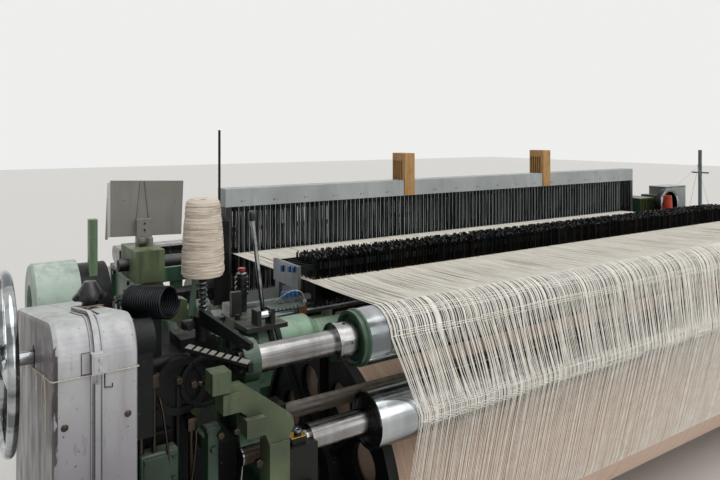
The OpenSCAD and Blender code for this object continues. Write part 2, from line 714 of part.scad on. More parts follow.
// Half of the guard: its wall lies at the outside, rounded along the edge
module guard_half() difference() {
  hull() {
    along_x(guard_mid + 0.4, guard_w / 2 - 10.4) guard_profile(0);
    along_x(guard_mid + guard_w / 2 - 10, 7) guard_profile(3);
    along_x(guard_mid + guard_w / 2 - 3, 3) guard_profile(9);
  }
  hull() {
    along_x(guard_mid - 1, guard_w / 2 - 9.4) guard_profile(guard_wall);
    along_x(guard_mid + guard_w / 2 - 12, 10 - guard_wall) guard_profile(guard_wall + 4);
  }
}
module guard_left() color(grey_paint) {
  difference() {
    mirror([1, 0, 0]) guard_half();
    rod_x(-guard_x0 - guard_w - 2, 20, wheel_c, 24);
  }
}
module guard_right() color(grey_paint) translate([-2 * guard_mid, 0, 0]) difference() {
  guard_half();
  for (c = [[wheel_c, 24], [shaft_c, 30], [motor_c, 26]]) rod_x(guard_mid + guard_w / 2 - 20, 24, c[0], c[1]);
}
latch_z = guard_h - 82;
module guard_fittings() {
  color(grey_paint) translate([-guard_mid - 5, 0, 0]) {
    box([0, guard_y0 - 12, 118], [8, 12, latch_z - 20 - 118]);
    box([-7, guard_y0 - 20, latch_z], [19, 20, 36]);
    along_x(0, 8) intersection() {
      difference() {
        guard_profile(-9);
        guard_profile(0);
      }
      translate([guard_y0 - 20, latch_z + 30]) square([260, 120]);
    }
  }
  color(black) difference() {
    translate([-guard_x0 - 19, -700, guard_h - 70]) {
      cylinder(r = 17, h = 36);
      translate([0, 0, 34]) cylinder(r1 = 28, r2 = 26, h = 18);
      translate([0, 0, 52 - eps]) cylinder(r1 = 26, r2 = 12, h = 22);
    }
    along_x(-guard_x0 - 60, 80) guard_profile(-seat);
  }
  color(iron) for (y = [case_y0 + 40, -500]) for (z = [200, guard_h - 260])
    rod_x(-guard_x0, guard_x0 - case_x1, [y, z], 12);
}

// A string tied round both halves of the guard, lower at the back
string_r = 1.4;
string_front = guard_h - 87;
string_tilt = -11.6;
module guard_string() color(cream) translate([-guard_mid, guard_y0, string_front]) rotate([string_tilt, 0, 0]) {
  hx = guard_w / 2 + string_r + seat;
  dy = guard_d / cos(string_tilt) + 2 * (string_r + seat);
  r = 8;
  translate([0, -string_r - seat, 0]) {
    for (s = [-1, 1]) {
      rod_y([s * hx, r, 0], dy - 2 * r, string_r);
      for (y = [0, dy]) rod_x(-hx + r, 2 * (hx - r), [y, 0], string_r);
    }
    for (q = [[-1, 0, 180], [1, 0, 270], [1, 1, 0], [-1, 1, 90]])
      translate([q[0] * (hx - r), q[1] == 0 ? r : dy - r, 0]) rotate(q[2])
        rotate_extrude(angle = 90) translate([r, 0]) circle(string_r);
  }
}

// Round cover beside the gear case, open in the middle of its outer face
module drum_cover() color(pale_green) mirror([1, 0, 0]) difference() {
  union() {
    rod_x(case_x1 + seat, 112, drum_c, 125);
    translate([case_x1 + 112 + seat - eps, drum_c[0], drum_c[1]]) rotate([0, 90, 0]) cylinder(r1 = 125, r2 = 119, h = 6);
  }
  rod_x(case_x1 + 12, 120, drum_c, 66);
  rod_x(case_x1 + 12, 90, drum_c, 112);
}

// Post that carries the long spring
module spring_cradle() difference() {
  box([spring_c[0] - 50, -742, case_top - 20], [36, 36, 130]);
  translate(spring_c) rotate([-94, 0, spring_yaw]) translate([0, 0, -60]) cylinder(r = spring_r + seat, h = 240);
}
module gear_case() color([0.13, 0.17, 0.15]) {
  spring_cradle();
  difference() {
    union() {
      mirror([1, 0, 0]) {
        along_x(case_x0, case_x1 - case_x0) offset(r = -20) offset(r = 40) offset(delta = -20) {
          translate([case_y0, foot_h]) square([case_y1 - case_y0, case_top - foot_h - 60]);
          translate([case_y0, case_top - 200]) square([300, 200]);
        }
        along_x(frame_out, case_x0 - frame_out) {
          translate([-600, 200]) square([300, 560]);
          translate([-600, 60]) square([60, 140]);
        }
        rod_x(case_x1 - 70, 68, wheel_c, 42);
        along_x(case_x1 - 66, 60) translate([wheel_c[0] - 34, case_top - 150]) square([100, 200]);
        rod_x(case_x1 - 80, 80, drum_c, 112);
      }
      rod_y([-case_x0 - 30, case_y0 - 22, 1010], 30, 66);
      box([-case_x0 - 20, case_y0 + 10, 940], [86, 90, 168]);
      for (z = [300, 620]) box([-case_x1 + 20, case_y0 - 12, z], [120, 13, 180]);
    }
    rod_x(-case_x1 - 4, 60, wheel_c, wheel_shaft_r + run);
    rod_x(-case_x1 - 1, 61, shaft_c, 22 + run);
    rod_x(-frame_out - 120, 122, beam_c, 80);
    rod_y([-case_x0 - 30, case_y0 - 23, 1010], 10, 50);
  }
}

motor_x0 = frame_out + 90;
module motor() color(green) mirror([1, 0, 0]) {
  difference() {
    rod_x(motor_x0, 262, motor_c, 105);
    for (a = [0 : 15 : 345]) translate([motor_x0 + 30, motor_c[0], motor_c[1]]) rotate([a, 0, 0])
      box([0, -2.5, 98], [180, 5, 10]);
  }
  rod_x(motor_x0 - 26, 26, motor_c, 96);
  box([motor_x0 + 50, motor_c[0] - 100, 0], [170, 200, 200]);
}
module motor_pulley() color(iron) mirror([1, 0, 0]) {
  rod_x(motor_x0 + 262 + seat, 150, motor_c, 14);
  rod_x(guard_mid - 14, 36, motor_c, 50);
}
module belt(c1, r1, c2, r2, x, w) mirror([1, 0, 0]) along_x(x, w) difference() {
  hull() {
    translate(c1) circle(r1 + 6, $fn = 40);
    translate(c2) circle(r2 + 6, $fn = 40);
  }
  hull() {
    translate(c1) circle(r1 + 1, $fn = 40);
    translate(c2) circle(r2 + 1, $fn = 40);
  }
}
module drive_belts() color(black) {
  belt(motor_c, 50, shaft_c, 140, guard_mid - 11, 30);
  belt(shaft_c, 40, wheel_c, 40, guard_mid - 43, 16);
}
module main_shaft() color(steel) mirror([1, 0, 0]) {
  rod_x(case_x1 - 58, guard_mid + 30 - case_x1 + 58, shaft_c, 22);
  rod_x(guard_mid - 14, 36, shaft_c, 140);
  rod_x(guard_mid - 45, 20, shaft_c, 40);
}
wheel_x = guard_x0 + guard_w + 51;
module handwheel() color(chrome) mirror([1, 0, 0]) {
  rod_x(case_x1 - 52, wheel_x + 20 - case_x1 + 52, wheel_c, wheel_shaft_r);
  rod_x(guard_mid - 45, 20, wheel_c, 40);
  translate([wheel_x, wheel_c[0], wheel_c[1]]) rotate([0, 90, 0]) {
    rotate_extrude() translate([wheel_r, 0]) circle(wheel_tube_r);
    translate([0, 0, -22]) cylinder(r = 34, h = 46);
    for (a = [30, 150, 270]) rotate(a) translate([30, 0, 0]) rotate([0, 90, 0]) cylinder(r1 = 14, r2 = 9, h = wheel_r - 32);
  }
}

/* Small parts on the left: bracket, shield, yarn cone, springs, hand lever */
block_x0 = 106 - case_x1;
block_top = 1285;
bar_c = [-430, 1238];
// Casting beside the pedestal, with an arm that leans out and up
module rocker() translate([-pedestal_x - 90 - seat, lower_c[0], lower_c[1]]) {
  translate([0, -42, 0]) rotate([90, 0, 0]) linear_extrude(33)
    polygon([[-50, -51], [0, -51], [0, 54], [14, 79], [10, 101], [-110, 197], [-144, 197], [-144, 230], [-180, 230],
             [-180, 200], [-160, 192], [-160, 142], [-122, 142], [-104, 128], [-104, 90], [-65, 90], [-50, 54]]);
  box([-50, -80, -51], [50, 52, 100]);
  box([-110, -92, 83], [45, 60, 40]);
  box([-186, -86, 192], [42, 44, 46]);
  box([-160, -80, 142], [38, 48, 44]);
}
module left_brackets() {
  lever_seat();
  color(green) rocker();
  color(green) {
    difference() {
      box([block_x0, -510, 1200], [78, 160, block_top - 1200]);
      rod_x(block_x0 - 1, 80, bar_c, 17 + run);
    }
    translate([0, -482, 0]) rotate([90, 0, 0]) translate([0, 0, -50]) linear_extrude(50) offset(r = -6) offset(delta = 6)
      polygon([[block_x0 + 20, 1201], [block_x0 + 78, 1201], [block_x0 + 92, 1150], [block_x0 + 150, 1130],
               [block_x0 + 150, 1100], [-frame_out - 60, 1100], [-frame_out - 60, 760], [-frame_out - 110, 760],
               [-frame_out - 110, 1060], [block_x0 + 60, 1100]]);
    difference() {
      box([-case_x1 + 26, -322, case_top - 60], [22, 28, 336]);
      rod_x(-case_x1, 60, drum_c, 112 + seat);
    }
  }
  color(steel) rod_x(block_x0 - 26, 290, bar_c, 17);
}

// Plain sheet held by a wire loop in a clamp on the bracket
plate_w = 207;
plate_h = 158;
plate_tilt = 2.3;
clamp_x = block_x0 + 51;
module shield_plate() {
  color([0.5, 0.5, 0.48]) translate([block_x0 - 38, -388, 1470]) rotate([0, plate_tilt, 0]) {
    box([0, 0, -plate_h], [plate_w, 2, plate_h]);
    box([-6, -3, -plate_h - 6], [6, 8, plate_h]);
  }
  color(iron) {
    difference() {
      box([clamp_x - 21, -408, block_top], [42, 20, 73]);
      for (z = [42, 60]) rod_y([clamp_x, -409, block_top + z], 22, 3);
    }
    for (s = [-1, 1]) translate([clamp_x + s * 11, -424, block_top]) cylinder(r = 8, h = 22);
    for (s = [-1, 1]) translate([clamp_x + s * 17, -390.3, block_top + 73 - 1]) rotate([0, s * -6, 0]) cylinder(r = 2, h = 109);
  }
}

cone_x = 206 - case_x1;
cone_y = -750;
cone_z = 1257;
module cone_post() {
  color(iron) {
    translate([cone_x, cone_y, 1108]) difference() {
      cylinder(r = 18, h = 51);
      translate([0, 0, 30]) cylinder(r = 14, h = 22);
    }
    translate([cone_x, cone_y, 1138 - eps]) cylinder(r = 5, h = cone_z - 1138 + cone_h * 0.8);
    for (i = [0 : 8]) translate([cone_x, cone_y, 1146 + i * 12]) rotate_extrude() translate([7.9, 0]) circle(3);
  }
  color(green) translate([cone_x - 16, cone_y + 4, 0]) rotate([90, 0, 0]) linear_extrude(6)
    polygon([[-22, 1162], [-2, 1162], [-1, cone_z - 5], [-9, cone_z - 5]]);
  color(green) translate([cone_x, cone_y, cone_z - 6]) difference() {
    cylinder(r = 26, h = 6);
    translate([0, 0, -1]) cylinder(r = 5 + run, h = 8);
  }
}
module yarn_cone() color(cream) translate([cone_x, cone_y, cone_z]) difference() {
  rotate_extrude() polygon([[0, 0], [cone_r - 4, 0], [cone_r, 5], [cone_r - 12.5, cone_h - 6], [cone_r - 17, cone_h], [0, cone_h]]);
  translate([0, 0, -1]) cylinder(r = 9, h = cone_h + 2);
}

// Closely wound spring as a ribbed tube
module tension_spring() color([0.25, 0.26, 0.27]) translate(spring_c) rotate([-94, 0, spring_yaw]) {
  step = spring_len / spring_turns;
  rotate_extrude() polygon(concat([[spring_r - 9, 0]],
    [for (i = [0 : spring_turns - 1]) each [[spring_r - 3, i * step], [spring_r, (i + 0.3) * step], [spring_r, (i + 0.7) * step]]],
    [[spring_r - 3, spring_len], [spring_r - 9, spring_len]]));
}

lever_base = [-(frame_in + 3), -650, 1104];
module hand_lever() color(chrome) translate(lever_base) {
  difference() {
    rod_x(-14, 28, [0, 0], 13);
    rod_x(-15, 30, [0, 0], 6 + run);
  }
  rotate([0, -7, 0]) {
    translate([0, 0, 10]) cylinder(r = 6, h = 270);
    translate([0, 0, 280]) sphere(8);
  }
}
seat_z = tube_c[1] + tube_boss_r + seat;
button_c = [lever_base[0], -500, 1190];
module lever_seat() color(iron) {
  box([-frame_out, lever_base[1] - 24, seat_z], [120, 190, 12]);
  difference() {
    box([-frame_out, tube_c[0] - 40, seat_z - 30], [frame_t, 80, 30 + eps]);
    rod_x(-frame_out - 1, frame_t + 2, tube_c, tube_boss_r + seat);
  }
  for (s = [-1, 1]) difference() {
    box([lever_base[0] + (s > 0 ? 14 + seat : -26 - seat), lever_base[1] - 20, seat_z + 12 - eps], [12, 40, 42]);
    rod_x(lever_base[0] - 40, 80, [lever_base[1], lever_base[2]], 6);
  }
  rod_x(lever_base[0] - 26 - seat, 52 + 2 * seat, [lever_base[1], lever_base[2]], 6);
  difference() {
    translate([button_c[0], button_c[1], seat_z + 12 - eps]) cylinder(r = 15, h = button_c[2] - seat_z - 12);
    translate([button_c[0], button_c[1], button_c[2] - 40]) cylinder(r = 5 + run, h = 50);
  }
  for (x = [lever_base[0] - 44, lever_base[0] + 22]) translate([x, -575, seat_z + 12 - eps]) cylinder(r = 8, h = 14);
  box([lever_base[0] - 50, -548, seat_z + 12 - eps], [30, 16, 70]);
}
module stop_button() color([0.7, 0.08, 0.1]) translate([button_c[0], button_c[1], button_c[2] - 30]) {
  cylinder(r = 5, h = 38);
  translate([0, 0, 38]) cylinder(r = 11, h = 8);
}

/* Weft side at the right */
deck_z = 1086;
deck_x1 = frame_out + 377;
deck_y0 = 230;
feed_c = [frame_out + 77, 200, 1121];
feed_r = 106;
pole_c = [frame_out + 415, 150];
tray_z = 760;
reach = wheel_x + 24;
module right_case() difference() {
  union() {
    along_x(case_x0 - 120, case_x1 - case_x0 + 120) offset(r = 40) offset(delta = -40)
      translate([case_y0, foot_h]) square([case_y1 - case_y0, 860]);
    along_x(frame_out, case_x0 - 119 - frame_out) translate([-600, 200]) square([300, 560]);
  }
  rod_x(frame_out - 1, 60, beam_c, 80);
  for (z = [240, 560]) along_x(case_x1 - 8, 9) offset(r = 20) offset(delta = -20)
    translate([case_y0 + 60, z]) square([case_y1 - case_y0 - 120, 260]);
}
module feeder_housing() difference() {
  union() {
    box([feed_c[0] - 36, feed_c[1] + 50, deck_z - eps], [72, 110, feed_c[2] - deck_z + 60]);
    rod_y([feed_c[0], feed_c[1] + 16, feed_c[2]], 60, 28);
  }
  rod_y([feed_c[0], feed_c[1], feed_c[2]], 120, 12 + run);
}
module creel() {
  box([2 * pole_c[0] - reach, pole_c[1] - 150, 0], [2 * (reach - pole_c[0]), 300, 12]);
  translate([pole_c[0], pole_c[1], 12 - eps]) cylinder(r = 12, h = 1476);
  box([pole_c[0] - 85, pole_c[1] - 190, tray_z - 8], [170, 380, 8]);
  box([deck_x1 - 10, pole_c[1] - 8, deck_z - 40], [pole_c[0] - deck_x1 + 20, deck_y0 - pole_c[1] + 10, 12]);
  for (s = [-1, 1]) translate([pole_c[0], pole_c[1] + s * 105, tray_z - eps]) cylinder(r = 8, h = 60);
  translate([pole_c[0], pole_c[1], 1330]) rotate([90, 0, 0]) translate([0, 0, -60]) cylinder(r = 5, h = 120);
}
module guide_block() {
  box([harness_x1 + 60, deck_y0 + 4, guide_z1[1]], [frame_out - harness_x1 - 60, 150, 108]);
  for (i = [0 : 6]) box([harness_x1 + 84 + i * 19, deck_y0 - 1, guide_z1[1] + 6], [3, 6, 96]);
}
module tube_shelf() {
  box([frame_in, 94, 1080], [74, 74, 8]);
  box([frame_in + 10, 115, frame_top], [40, 30, 100 + eps]);
}
module weft_unit() {
  color(green) {
    difference() {
      box([frame_in, deck_y0, frame_top], [deck_x1 - frame_in, 370, deck_z - frame_top]);
      box([frame_out, deck_y0 + 20, frame_top - 1], [deck_x1 - frame_out - 20, 330, deck_z - frame_top - 12]);
      rod_y([feed_c[0], deck_y0 - 1, feed_c[2]], 22, 12 + run);
    }
    box([deck_x1 - 205, 330, 14 - eps], [90, 120, deck_z - 26]);
    box([deck_x1 - 225, 310, 0], [130, 160, 14]);
    right_case();
  }
  color(iron) {
    feeder_housing();
    tube_shelf();
  }
  color([0.3, 0.2, 0.14]) guide_block();
  color(grey_paint) box([feed_c[0] + 44, deck_y0 + 2, deck_z - eps], [deck_x1 - feed_c[0] - 46, 118, 147]);
  color(grey_paint) creel();
}
module feeder_drum() color(iron) {
  rod_y([feed_c[0], feed_c[1] + 16 - seat, feed_c[2]], 90, 12);
  difference() {
    rod_y([feed_c[0], feed_c[1] - 28, feed_c[2]], 44 - seat, feed_r);
    rod_y([feed_c[0], feed_c[1] - 29, feed_c[2]], 30, feed_r - 10);
    for (a = [0 : 60 : 300]) translate(feed_c) rotate([0, a, 0]) rod_y([48, -30, 0], 60, 15);
  }
  rod_y([feed_c[0], feed_c[1] - 20, feed_c[2]], 24, 20);
}
// Tube on the deck and two packages on the creel
module weft_packages() {
  color([0.85, 0.3, 0.2]) translate([frame_in + 42, 131, 1088]) rotate_extrude()
    polygon([[28, 0], [31, 0], [25, 106], [22, 106]]);
  color(cream) for (s = [-1, 1]) translate([pole_c[0], pole_c[1] + s * 105, tray_z]) rotate_extrude()
    polygon([[9, 0], [78, 0], [80, 6], [48, 176], [42, 182], [9, 182]]);
}

left_frame();
right_frame();
main_spar();
rear_tube();
breast_beam();
feet();
roller_pedestals();
lower_shaft();
lower_roller();
back_rest_tube();
back_rest_levers();
lever_fittings();
upper_shaft();
upper_roller();
roller_end_caps();
beam_barrel();
beam_flanges();
warp_roll();
beam_gear();
letoff_pinion();
letoff_case();
warp_sheet();
drop_wires();
stop_rails();
heald_frame_1();
heald_frame_2();
heald_frame_3();
heald_frame_4();
heald_frame_5();
heald_frame_6();
harness_guides();
comb_blocks();
sley();
reed();
cloth();
take_up_roller();
press_roller();
cloth_roll();
guard_left();
guard_right();
guard_fittings();
guard_string();
motor();
motor_pulley();
drive_belts();
handwheel();
main_shaft();
gear_case();
drum_cover();
left_brackets();
shield_plate();
cone_post();
yarn_cone();
tension_spring();
hand_lever();
stop_button();
weft_unit();
feeder_drum();
weft_packages();
temples();
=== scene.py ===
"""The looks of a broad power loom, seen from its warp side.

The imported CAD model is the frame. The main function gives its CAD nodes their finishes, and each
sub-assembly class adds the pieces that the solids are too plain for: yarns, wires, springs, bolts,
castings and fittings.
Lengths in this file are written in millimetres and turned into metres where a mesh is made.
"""

import json
import logging
import math
import random
from collections.abc import Mapping, Sequence
from dataclasses import dataclass
from enum import Enum

import bmesh
import bpy
from mathutils import Matrix, Vector, noise

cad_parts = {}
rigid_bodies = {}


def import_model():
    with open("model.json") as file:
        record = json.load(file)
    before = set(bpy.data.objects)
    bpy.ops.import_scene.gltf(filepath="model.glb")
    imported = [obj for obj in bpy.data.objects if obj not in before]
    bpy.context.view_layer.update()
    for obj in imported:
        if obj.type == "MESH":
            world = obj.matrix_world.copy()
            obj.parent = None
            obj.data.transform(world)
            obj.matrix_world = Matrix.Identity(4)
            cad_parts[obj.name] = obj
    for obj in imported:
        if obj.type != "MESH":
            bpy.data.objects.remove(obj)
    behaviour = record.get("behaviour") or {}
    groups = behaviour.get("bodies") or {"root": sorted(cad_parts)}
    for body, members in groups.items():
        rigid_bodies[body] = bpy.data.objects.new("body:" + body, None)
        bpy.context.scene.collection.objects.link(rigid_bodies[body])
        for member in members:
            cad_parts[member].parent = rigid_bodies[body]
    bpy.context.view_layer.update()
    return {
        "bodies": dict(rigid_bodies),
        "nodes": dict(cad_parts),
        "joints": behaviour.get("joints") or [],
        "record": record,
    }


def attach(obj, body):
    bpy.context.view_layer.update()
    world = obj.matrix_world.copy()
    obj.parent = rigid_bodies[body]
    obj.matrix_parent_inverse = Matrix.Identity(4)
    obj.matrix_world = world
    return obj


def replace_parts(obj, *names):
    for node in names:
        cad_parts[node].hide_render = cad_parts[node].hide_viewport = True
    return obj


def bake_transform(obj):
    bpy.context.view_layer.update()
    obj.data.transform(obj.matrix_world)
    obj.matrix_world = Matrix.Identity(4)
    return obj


LOG = logging.getLogger("loom")
MM = 0.001
X_AXIS, Y_AXIS, Z_AXIS = Vector((1, 0, 0)), Vector((0, 1, 0)), Vector((0, 0, 1))
Outline = Sequence[tuple[float, float]]
Corner = tuple[float, float, float]


# ---------------------------------------------------------------- small tools


def mm(x: float, y: float, z: float) -> Vector:
    """A point given in millimetres, in metres."""
    return Vector((x, y, z)) * MM


def linear(code: str) -> tuple[float, float, float, float]:
    """Turns an sRGB hex colour into a linear one.

    Args:
        code: Six hex digits after a hash.

    Returns:
        Red, green, blue and an alpha of 1.
    """
    parts = [int(code[i : i + 2], 16) / 255 for i in (1, 3, 5)]
    lin = [p / 12.92 if p <= 0.04045 else ((p + 0.055) / 1.055) ** 2.4 for p in parts]
    return (lin[0], lin[1], lin[2], 1.0)


def add(
    tree: bpy.types.NodeTree,
    kind: str,
    settings: Mapping[str | int, object] | None = None,
    links: Mapping[str | int, bpy.types.NodeSocket] | None = None,
) -> bpy.types.Node:
    """Adds a node with its settings and links.

    Args:
        tree: The material's node tree.
        kind: The node's type name.
        settings: Values for the node's properties or its input sockets.
        links: Sockets that feed the node's inputs.

    Returns:
        The new node.
    """
    node = tree.nodes.new(kind)
    for key, value in (settings or {}).items():
        if isinstance(key, int) or key in node.inputs:
            node.inputs[key].default_value = value
        else:
            setattr(node, key, value)
    for key, socket in (links or {}).items():
        tree.links.new(socket, node.inputs[key])
    return node


class Lie(Enum):
    """Which way the fine lines of a surface run."""

    X = (0.02, 1.0, 1.0)
    Y = (1.0, 0.02, 1.0)
    Z = (1.0, 1.0, 0.02)
    AROUND_X = (1.0, 0.02, 0.02)
    AROUND_Z = (0.03, 0.03, 1.0)
    EVEN = (1.0, 1.0, 1.0)


# ------------------------------------------------------------------- finishes


@dataclass(frozen=True)
class Finish:
    """What one surface is made of.

    Each kind of finish lays its own nodes; the main colour and what shows through it in patches
    are common to all.
    """

    name: str
    slot: str
    colour: str
    second: str

    def patches(
        self,
        tree: bpy.types.NodeTree,
        size: float,
        low: float,
        high: float,
        lie: tuple[float, float, float] = (1, 1, 1),
        shift: float = 0.0,
    ) -> bpy.types.NodeSocket:
        """A field of soft patches, from 0 to 1.

        Args:
            tree: The material's node tree.
            size: The patch size in millimetres.
            low: Noise level at which the patches start.
            high: Noise level at which they are full.
            lie: How much each axis counts, for drawn-out patches.
            shift: Moves the pattern so that two of one size differ.

        Returns:
            The socket that carries the field.
        """
        place = add(tree, "ShaderNodeTexCoord").outputs["Object"]
        scale = tuple(1000.0 / size * k for k in lie)
        spot = add(tree, "ShaderNodeMapping", {"Scale": scale, "Location": (shift, shift, shift)}, {"Vector": place})
        cloud = add(tree, "ShaderNodeTexNoise", {"Scale": 1.0, "Detail": 3.0}, {"Vector": spot.outputs[0]})
        span = {"From Min": low, "From Max": high, "To Min": 0.0, "To Max": 1.0}
        return add(tree, "ShaderNodeMapRange", span, {"Value": cloud.outputs[0]}).outputs[0]

    def over(
        self,
        tree: bpy.types.NodeTree,
        share: bpy.types.NodeSocket,
        under: bpy.types.NodeSocket | str,
        upper: str,
        most: float = 1.0,
    ) -> bpy.types.NodeSocket:
        """Lays a colour over another where a field is high.

        Args:
            tree: The material's node tree.
            share: The field.
            under: A colour socket, or a hex colour.
            upper: The hex colour that is laid over it.
            most: The strongest share of the upper colour.

        Returns:
            The mixed colour's socket.
        """
        dim = add(tree, "ShaderNodeMath", {"operation": "MULTIPLY", 1: most}, {0: share}).outputs[0]
        if isinstance(under, str):
            settings = {"data_type": "RGBA", 6: linear(under), 7: linear(upper)}
            return add(tree, "ShaderNodeMix", settings, {0: dim}).outputs[2]
        return add(tree, "ShaderNodeMix", {"data_type": "RGBA", 7: linear(upper)}, {0: dim, 6: under}).outputs[2]

    def inside(self, tree: bpy.types.NodeTree, low: Corner, high: Corner) -> bpy.types.NodeSocket:
        """A field that is 1 inside a box and 0 outside it.

        Args:
            tree: The material's node tree.
            low: The box's lowest corner in millimetres.
            high: Its highest corner.

        Returns:
            The socket that carries the field.
        """
        place = add(tree, "ShaderNodeTexCoord").outputs["Object"]
        parts = add(tree, "ShaderNodeSeparateXYZ", {}, {0: place}).outputs
        tests = []
        for axis in range(3):
            for operation, bound in (("GREATER_THAN", low[axis]), ("LESS_THAN", high[axis])):
                settings = {"operation": operation, 1: bound * MM}
                tests.append(add(tree, "ShaderNodeMath", settings, {0: parts[axis]}))
        share = tests[0].outputs[0]
        for test in tests[1:]:
            share = add(tree, "ShaderNodeMath", {"operation": "MULTIPLY"}, {0: share, 1: test.outputs[0]}).outputs[0]
        return share

    def lay(self, tree: bpy.types.NodeTree, shader: bpy.types.Node) -> None:
        """Lays the nodes of this finish on its shader."""
        raise NotImplementedError

    def material(self) -> bpy.types.Material:
        """The Blender material of this finish, made the first time that it is asked for."""
        known = bpy.data.materials.get(self.name)
        if known:
            return known
        made = bpy.data.materials.new(self.name)
        made.use_nodes = True
        tree = made.node_tree
        self.lay(tree, tree.nodes["Principled BSDF"])
        made.diffuse_color = linear(self.colour)
        return made


@dataclass(frozen=True)
class Painted(Finish):
    """Brushed machine enamel or paint on sand-cast iron or sheet, oily, chipped and dusty.

    The eye sees a soft gloss broken by casting grain, dark oil runs down the sides, small chips
    to the iron, and lint on what faces up, which on the guard's paint is also a painted lit top.
    """

    grime: str = "#1c1c18"
    grime_share: float = 0.45
    chip: str = "#3b332c"
    chip_level: float = 0.70
    rough: float = 0.42
    grain: float = 2.2
    grain_depth: float = 0.25
    lint_and_lit_top: str = "#a9a89c"
    lint_and_lit_top_share: float = 0.35
    gloss: float = 0.5
    zones: tuple[tuple[Corner, Corner, str], ...] = ()

    def coat(self, tree: bpy.types.NodeTree) -> bpy.types.NodeSocket:
        """The paint's own colour, before oil and wear."""
        tone = self.over(tree, self.patches(tree, 160, 0.35, 0.68), self.colour, self.second)
        for low, high, colour in self.zones:
            tone = self.over(tree, self.inside(tree, low, high), tone, colour)
        return tone

    def lay(self, tree: bpy.types.NodeTree, shader: bpy.types.Node) -> None:
        """Lays paint, oil runs, chips, and lint that on the guard's paint is also a painted lit top.

        Args:
            tree: The material's node tree.
            shader: Its Principled BSDF, whose inputs this finish feeds.
        """
        tone = self.coat(tree)
        runs = self.patches(tree, 30, 0.48, 0.72, (1, 1, 0.12), 3.0)
        smear = self.patches(tree, 240, 0.42, 0.66, (1, 1, 1), 7.0)
        oil = add(tree, "ShaderNodeMath", {"operation": "MAXIMUM"}, {0: runs, 1: smear}).outputs[0]
        tone = self.over(tree, oil, tone, self.grime, self.grime_share)
        chips = self.patches(tree, 9, self.chip_level, self.chip_level + 0.03, (1, 1, 0.8), 11.0)
        tone = self.over(tree, chips, tone, self.chip)
        # lint on what faces up; the guard's pale lint also stands for a painted lit top
        normal = add(tree, "ShaderNodeNewGeometry").outputs["Normal"]
        rise = add(tree, "ShaderNodeSeparateXYZ", {}, {0: normal}).outputs[2]
        up = add(tree, "ShaderNodeMapRange", {1: 0.55, 2: 1.0, 3: 0.0, 4: 1.0}, {0: rise}).outputs[0]
        fluff = self.patches(tree, 22, 0.30, 0.70, (1, 1, 1), 19.0)
        lint_and_lit_top = add(tree, "ShaderNodeMath", {"operation": "MULTIPLY"}, {0: up, 1: fluff}).outputs[0]
        tone = self.over(tree, lint_and_lit_top, tone, self.lint_and_lit_top, self.lint_and_lit_top_share)
        tree.links.new(tone, shader.inputs["Base Color"])
        shader.inputs["Specular IOR Level"].default_value = self.gloss
        dull = self.patches(tree, 45, 0.3, 0.7, (1, 1, 0.5), 5.0)
        rough = add(tree, "ShaderNodeMapRange", {3: self.rough - 0.12, 4: self.rough + 0.16}, {0: dull}).outputs[0]
        tree.links.new(rough, shader.inputs["Roughness"])
        grain = self.patches(tree, self.grain, 0.2, 0.8)
        pits = add(tree, "ShaderNodeMath", {"operation": "SUBTRACT"}, {0: grain, 1: chips}).outputs[0]
        bump = add(tree, "ShaderNodeBump", {"Strength": self.grain_depth, "Distance": 0.0006}, {"Height": pits})
        tree.links.new(bump.outputs[0], shader.inputs["Normal"])


